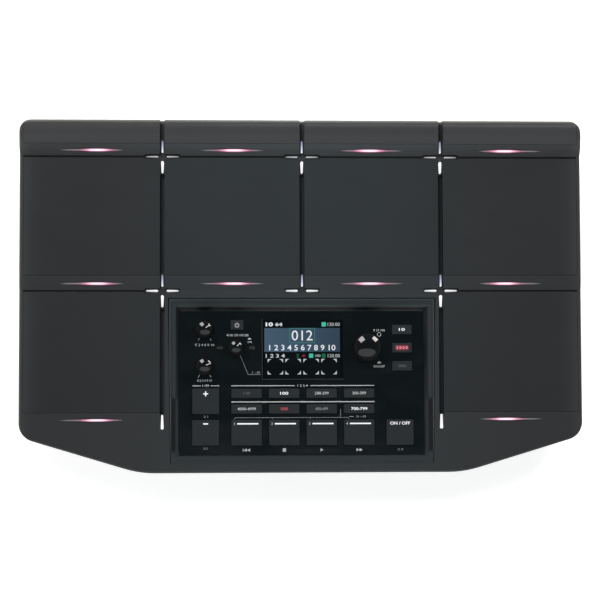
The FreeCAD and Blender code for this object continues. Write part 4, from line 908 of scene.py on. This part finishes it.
def print_transport():
    """Back, stop, play and forward, in front of the four lower keys."""
    art = Drawing(0.0, ICON_ROW)
    back, stop, play, forward = [key[0] for key in assign_keys]
    art.bar(back - 2.7, 0.0, 0.45, 2.5)
    art.bar(stop, 0.0, 2.5, 2.5)
    for x, way in ((back - 1.1, -1), (back + 1.5, -1), (play, 1), (forward - 1.2, 1), (forward + 1.2, 1)):
        art.shape([(x - 1.1 * way, -1.25), (x + 1.2 * way, 0.0), (x - 1.1 * way, 1.25)][::way])
    art.piece("transport_symbols", "panel_ink")


def on_key(name, lift=0.0):
    x, y, _, _, top = keys[name]
    return Drawing(x, y, top + lift, name)


# The figures on the keys: what they say, their ink and their width
KEY_FIGURES = {
    "mode_button_1": ("1-99", "faint_ink", 5.0), "mode_button_2": ("100", "white_light", 6.2),
    "mode_button_3": ("200-299", "panel_ink", 10.6), "mode_button_4": ("300-399", "panel_ink", 10.4),
    "function_button_1": ("4000-4999", "panel_ink", 14.0), "function_button_2": ("500", "red_dim", 5.6),
    "function_button_3": ("600-699", "grey_ink", 9.4), "function_button_4": ("700-799", "white_light", 12.4),
    "edit_button": ("10", "white_light", 4.6), "write_button": ("2 0 0 0", "red_light", 8.6),
    "exit_button": ("3000", "faint_ink", 6.0),
}


def print_keys():
    """What stands on the keys: figures, bars of light, plus and minus and the power sign."""
    for name, (text, ink, wide) in KEY_FIGURES.items():
        art = on_key(name)
        art.figures(text, 0.0, 0.0, 2.2, wide, 0.02)
        art.piece(name + "_print", ink, "button_rubber")
    for index in range(1, 5):
        name = f"assign_button_{index}"
        art = on_key(name)
        art.bar(0.8, 6.75, 16.1, 1.05, 0.3)
        art.piece(name + "_light", "white_light", "light_guide")
        art = on_key(name)
        art.figures(str(index), -9.3, 6.7, 1.9, bold=0.02)
        art.piece(name + "_print", "panel_ink", "button_rubber")
    art = on_key("kit_plus_button")
    art.line([(-1.55, 5.6), (1.55, 5.6)], 0.8)
    art.line([(0.0, 4.05), (0.0, 7.15)], 0.8)
    art.spot(0.0, 5.6, 0.85)
    art.piece("kit_plus_print", "white_light", "light_guide")
    art = on_key("kit_minus_button")
    art.line([(-1.4, 6.8), (1.4, 6.8)], 1.0)
    art.piece("kit_minus_print", "white_light", "light_guide")
    art = on_key("sound_off_button")
    art.figures("ON / OFF", 0.0, 6.9, 2.4, 15.2, 0.02)
    art.piece("sound_off_print", "white_light", "light_guide")
    art = on_key("power_button")
    art.ring(0.0, -0.2, 1.4, 0.6, 120.0, 300.0)
    art.bar(0.0, 1.0, 0.6, 1.5)
    art.piece("power_print", "panel_ink", "button_rubber")


# The display's picture: its level just over the glass, and two rows of marks
PICTURE_LEVEL = -0.57
SCREEN_TOP = 18.0
SCREEN_LOW = -6.0


def screen_piece(name, ink, lift, bars=(), texts=(), shapes=()):
    """One colour of the display's picture."""
    art = Drawing(level=PICTURE_LEVEL + lift)
    for bar in bars:
        art.bar(*bar)
    for text in texts:
        art.figures(*text)
    for shape in shapes:
        art.shape(shape)
    art.piece(name, ink, "display_glass")


def draw_screen():
    """A plain picture: a row of status marks, a band with a number, and four square outlines."""
    screen_piece("screen_ground", "screen_dark", -0.02, [(0.2, -0.9, 57.6, 44.3)])
    screen_piece("screen_band", "screen_band", 0.0, [(0.2, 6.1, 57.6, 18.2)])
    screen_piece("screen_number_frame", "screen_frame", 0.04, [
        (0.25, 14.9, 19.4, 0.45), (0.25, 4.0, 19.4, 0.45),
        (-9.3, 9.45, 0.45, 11.3), (9.8, 9.45, 0.45, 11.3)])
    screen_piece("screen_white_marks", "screen_white", 0.06, texts=[
        ("012", 0.2, 9.5, 7.7, 16.0), ("1 2 3 4 5 6 7 8 9 10", 0.3, 0.2, 4.3, 50.5, 0.01),
        ("10", -27.6, SCREEN_TOP, 3.1, 5.6, 0.04, 0.0)])
    screen_piece("screen_grey_marks", "screen_grey", 0.06, texts=[
        ("120.00", 28.9, SCREEN_TOP, 2.5, 9.2, 0.0, 1.0), ("120.00", 28.9, SCREEN_LOW, 2.5, 9.2, 0.0, 1.0),
        ("100", 14.0, SCREEN_LOW, 1.9, 3.8, 0.0, 1.0), ("64", -20.4, SCREEN_TOP, 2.7, 5.6, 0.05, 0.0),
        ("1 2 3 4", -27.6, SCREEN_LOW, 2.8, 14.6, 0.02, 0.0)])
    screen_piece("screen_teal_marks", "screen_teal", 0.04, [
        (16.8, SCREEN_TOP, 3.4, 3.4, 0.6), (7.0, SCREEN_LOW, 3.3, 3.2, 0.4)])
    screen_piece("screen_green_marks", "screen_green", 0.04, [
        (-3.2, SCREEN_LOW, 0.6, 2.6), (-3.2, SCREEN_LOW + 1.0, 2.4, 0.5), (-3.2, SCREEN_LOW - 1.1, 2.4, 0.5),
        (16.6, SCREEN_LOW, 2.9, 3.2, 0.5)])
    screen_piece("screen_red_marks", "screen_red", 0.04, [(1.3, SCREEN_LOW, 2.4, 1.6)])
    corners = [
        (x + way_x * 5.85, -14.3 + way_y * 5.85, way_x, way_y)
        for x in (-20.3, -6.75, 6.95, 20.65) for way_x in (-1, 1) for way_y in (-1, 1)]
    screen_piece("screen_corners", "screen_grey", 0.04, shapes=[
        ((x, y), (x - way_x * 2.8, y), (x - way_x * 1.2, y - way_y), (x, y - way_y * 2.8))
        for x, y, way_x, way_y in corners])


def paint_window_highlight():
    """A painted highlight of the thin moulded edge of the display's window, along its left and its front."""
    left, right, front, rear, wide = -30.1, 31.5, -23.65, 21.65, 0.4
    art = Drawing()
    art.bar(left - wide / 2, (front + rear) / 2, wide, rear - front + 2 * wide)
    art.bar((left + right) / 2, front - wide / 2, right - left, wide)
    art.piece("window_edge_highlight", "window_trim")


ARM_REACH = 11.9
PAD_CLEARANCE = 0.15
LIP_CLEARANCE = 0.25
LIP_ROOT = 0.3
LIP_DEPTH = 1.5
LIP_TOP = 1.2
LIP_ROUND = 0.2
GROOVE_REACH = 5.0


def fill_row_gaps():
    """The lips of the case that close the gaps between the rows of pads, just under the striking faces."""
    bm = bmesh.new()
    for name, (low, high) in pads.items():
        if name.startswith("bar"):
            continue
        ends = [low.x, high.x]
        for k, way in ((0, 1), (1, -1)):
            on_groove = min(abs(abs(ends[k]) - COLUMN_LINE / MM), abs(ends[k])) < GROOVE_REACH
            ends[k] += way * ARM_REACH if on_groove else -way * PAD_CLEARANCE
        size = (ends[1] - ends[0], ROW_GAP - LIP_CLEARANCE + LIP_ROOT, LIP_DEPTH)
        y = high.y + (LIP_CLEARANCE + ROW_GAP + LIP_ROOT) / 2
        block(bm, (sum(ends) / 2, y, high.z - LIP_TOP - LIP_DEPTH / 2), size, LIP_ROUND, segments=2)
    make_piece("row_gap_lips", bm, "case_plastic", matrix=DECK)


FOAM_ROUND = 0.5
FOAM_BARREL = 0.25
FOAM_SPAN = 4.0


def lay_foam():
    """The foam sheets under the pads: slabs with soft edges, a little barrelled."""
    cloud = points_in_deck("pad_foam")
    for name, (pad_low, pad_high) in pads.items():
        low, high = corners_of([
            p for p in cloud if pad_low.x < p.x < pad_high.x and pad_low.y < p.y < pad_high.y])
        size, middle = high - low, (low + high) / 2
        bm = bmesh.new()
        block(bm, middle, size, FOAM_ROUND)
        spans = [edge for edge in bm.edges if edge.calc_length() > FOAM_SPAN]
        bmesh.ops.subdivide_edges(bm, edges=spans, cuts=5, use_grid_fill=True)
        for vert in bm.verts:
            level = (vert.co.z - middle.z) / (size.z / 2)
            for k in range(2):
                side = (vert.co[k] - middle[k]) / (size[k] / 2)
                vert.co[k] -= FOAM_BARREL * level * level * side
        piece = make_piece(name.replace("pad", "pad_foam"), bm, "foam_grey", matrix=DECK)
        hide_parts("pad_foam")
        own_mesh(piece)


def light_write_key():
    """The red haze round the lit figures of the middle small button."""
    art = on_key("write_button", -0.015)
    art.bar(0.0, 0.0, 10.6, 4.0, 1.7)
    art.piece("write_haze", "red_haze", "light_guide")


# The knobs' crowns are parts of a ball inside their rounded edge, and the white lines are let into them
CROWN_EDGE = 1.8233
CROWN_TILT = math.radians(26.0)
LINE_HALF, LINE_DEEP, LINE_PROUD = 0.30, 0.38, -0.02


def make_pointers():
    """White lines let into the crowns of the three knobs that have an end stop."""
    for name, radius, turned in (
            ("main_volume", 7.0, -55.0), ("phones", 7.0, -70.0), ("metronome", 6.4, -45.0)):
        x, y, _, _, top = on_panel(name + "_knob")
        rim = radius - CROWN_EDGE
        curve = rim / math.sin(CROWN_TILT)
        start, stop = [math.asin(rim * share / curve) for share in (0.22, 0.97)]
        bm = bmesh.new()
        corners = [
            bm.verts.new((side * LINE_HALF, 0.0, curve + level)) for side, level in
            ((-1, -LINE_DEEP), (1, -LINE_DEEP), (1, LINE_PROUD), (-1, LINE_PROUD))]
        bmesh.ops.rotate(bm, verts=corners, cent=(0, 0, 0), matrix=Matrix.Rotation(-start, 3, "X"))
        face = bm.faces.new(corners)
        bmesh.ops.spin(
            bm, geom=corners + list(face.edges) + [face], cent=(0, 0, 0), axis=(1, 0, 0),
            angle=start - stop, steps=10)
        turn = Matrix.Rotation(math.radians(turned), 4, "Z")
        bmesh.ops.transform(bm, verts=bm.verts, matrix=Matrix.Translation((x, y, top - curve)) @ turn)
        make_piece(name + "_pointer", bm, "pointer_white", name + "_knob")


for make in (
        print_lines, print_dials, print_symbols, print_transport, print_keys, draw_screen, paint_window_highlight,
        fill_row_gaps, lay_foam, light_write_key, make_pointers):
    make()


# Floor, lights and camera

LOOK_AT = Vector((-0.0015335, -0.0037989, 0.0493486))
CAMERA_AZIMUTH = -16.18
CAMERA_ELEVATION = 80.92
CAMERA_ROLL = 15.96
CAMERA_DISTANCE = 1.3
CAMERA_LENS = 102.516
FLOOR_GLOW = 0.68
SKY_STRENGTH = 0.80
SKY = (
    (0.0, (0.50, 0.49, 0.47)), (0.30, (0.36, 0.3636, 0.3708)), (0.55, (0.25, 0.2525, 0.2575)),
    (0.75, (0.13, 0.1313, 0.1339)), (0.93, (0.075, 0.110, 0.125)))


def make_floor():
    bm = bmesh.new()
    bmesh.ops.create_grid(bm, x_segments=8, y_segments=8, size=6.0)
    material = bpy.data.materials.new("studio_floor")
    tree = empty_tree(material)
    paper = drifting(tree, (0.80, 0.80, 0.80, 1.0), 0.6, 0.02)
    matt = node(tree, "BsdfDiffuse", {"Color": paper}).outputs[0]
    glow = node(tree, "Emission", {"Color": WHITE, "Strength": FLOOR_GLOW}).outputs[0]
    rays = node(tree, "LightPath").outputs
    seen = picked(
        tree, "MAXIMUM", *[rays[f"Is {kind} Ray"] for kind in ("Camera", "Glossy", "Transmission")])
    both = node(tree, "AddShader", {0: matt, 1: glow}).outputs[0]
    mixed = node(tree, "MixShader", {0: seen, 1: matt, 2: both}).outputs[0]
    node(tree, "OutputMaterial", {"Surface": mixed})
    make_object("studio_floor", bm, material)


def make_world():
    """A studio that is pale low down and dark overhead, so that glossy faces stay dark from above."""
    scene.world = bpy.data.worlds.new("studio")
    tree = empty_tree(scene.world)
    place = node(tree, "TexCoord").outputs["Generated"]
    height = node(tree, "SeparateXYZ", {"Vector": place}).outputs["Z"]
    shade = colour_ramp(tree, height, SKY)
    sky = node(tree, "Background", {"Color": shade, "Strength": SKY_STRENGTH}).outputs[0]
    white = node(tree, "Background", {"Color": WHITE, "Strength": 1.0}).outputs[0]
    seen = node(tree, "LightPath").outputs["Is Camera Ray"]
    mixed = node(tree, "MixShader", {0: seen, 1: sky, 2: white}).outputs[0]
    node(tree, "OutputWorld", {"Surface": mixed})


def towards(azimuth, elevation):
    """The way from the object to an azimuth, 0 in front of it and 90 to its right, and an elevation."""
    a, e = math.radians(azimuth), math.radians(elevation)
    return Vector((math.sin(a) * math.cos(e), -math.cos(a) * math.cos(e), math.sin(e)))


def softbox(name, azimuth, elevation, distance, wide, tall, power, colour, shape="RECTANGLE"):
    """A soft lamp that looks at the object."""
    lamp = bpy.data.lights.new(name, "AREA")
    lamp.shape = shape
    lamp.size, lamp.size_y = wide, tall
    lamp.energy = power
    lamp.color = colour
    holder = bpy.data.objects.new(name, lamp)
    scene.collection.objects.link(holder)
    away = towards(azimuth, elevation)
    holder.location = LOOK_AT + away * distance
    holder.rotation_mode = "QUATERNION"
    holder.rotation_quaternion = away.to_track_quat("Z", "Y")


def make_camera():
    """The photograph's camera: almost straight above, a little to the left and in front."""
    back = towards(CAMERA_AZIMUTH, CAMERA_ELEVATION)
    level = towards(CAMERA_AZIMUTH + 90.0, 0.0)
    turn = Matrix.Rotation(math.radians(CAMERA_ROLL), 3, back)
    data = bpy.data.cameras.new("camera")
    data.lens = CAMERA_LENS
    data.sensor_width = 36.0
    camera = bpy.data.objects.new("camera", data)
    scene.collection.objects.link(camera)
    facing = Matrix((turn @ level, turn @ back.cross(level), back)).transposed().to_4x4()
    camera.matrix_world = Matrix.Translation(LOOK_AT + back * CAMERA_DISTANCE) @ facing
    scene.camera = camera


make_floor()
make_world()
softbox("rear_left_lamp", 215.0, 50.0, 1.5, 0.57, 0.70, 11.5, (1.0, 0.99, 0.98))
softbox("rear_right_lamp", 132.0, 42.0, 1.5, 0.50, 0.44, 9.5, (1.0, 0.99, 0.97))
softbox("rear_low_lamp", 180.0, 3.4, 1.8, 2.4, 0.24, 44.0, (1.0, 0.91, 0.80))
softbox("left_low_lamp", 265.0, 6.0, 1.8, 1.2, 0.30, 12.0, (1.0, 0.93, 0.82))
softbox("front_lamp", 0.0, 63.0, 1.6, 2.3, 1.0, 5.0, (0.94, 0.99, 1.0), "ELLIPSE")
softbox("front_low_lamp", 0.0, 5.0, 1.8, 2.0, 0.28, 15.0, (1.0, 0.98, 0.95))
make_camera()
scene.view_settings.view_transform = "Standard"
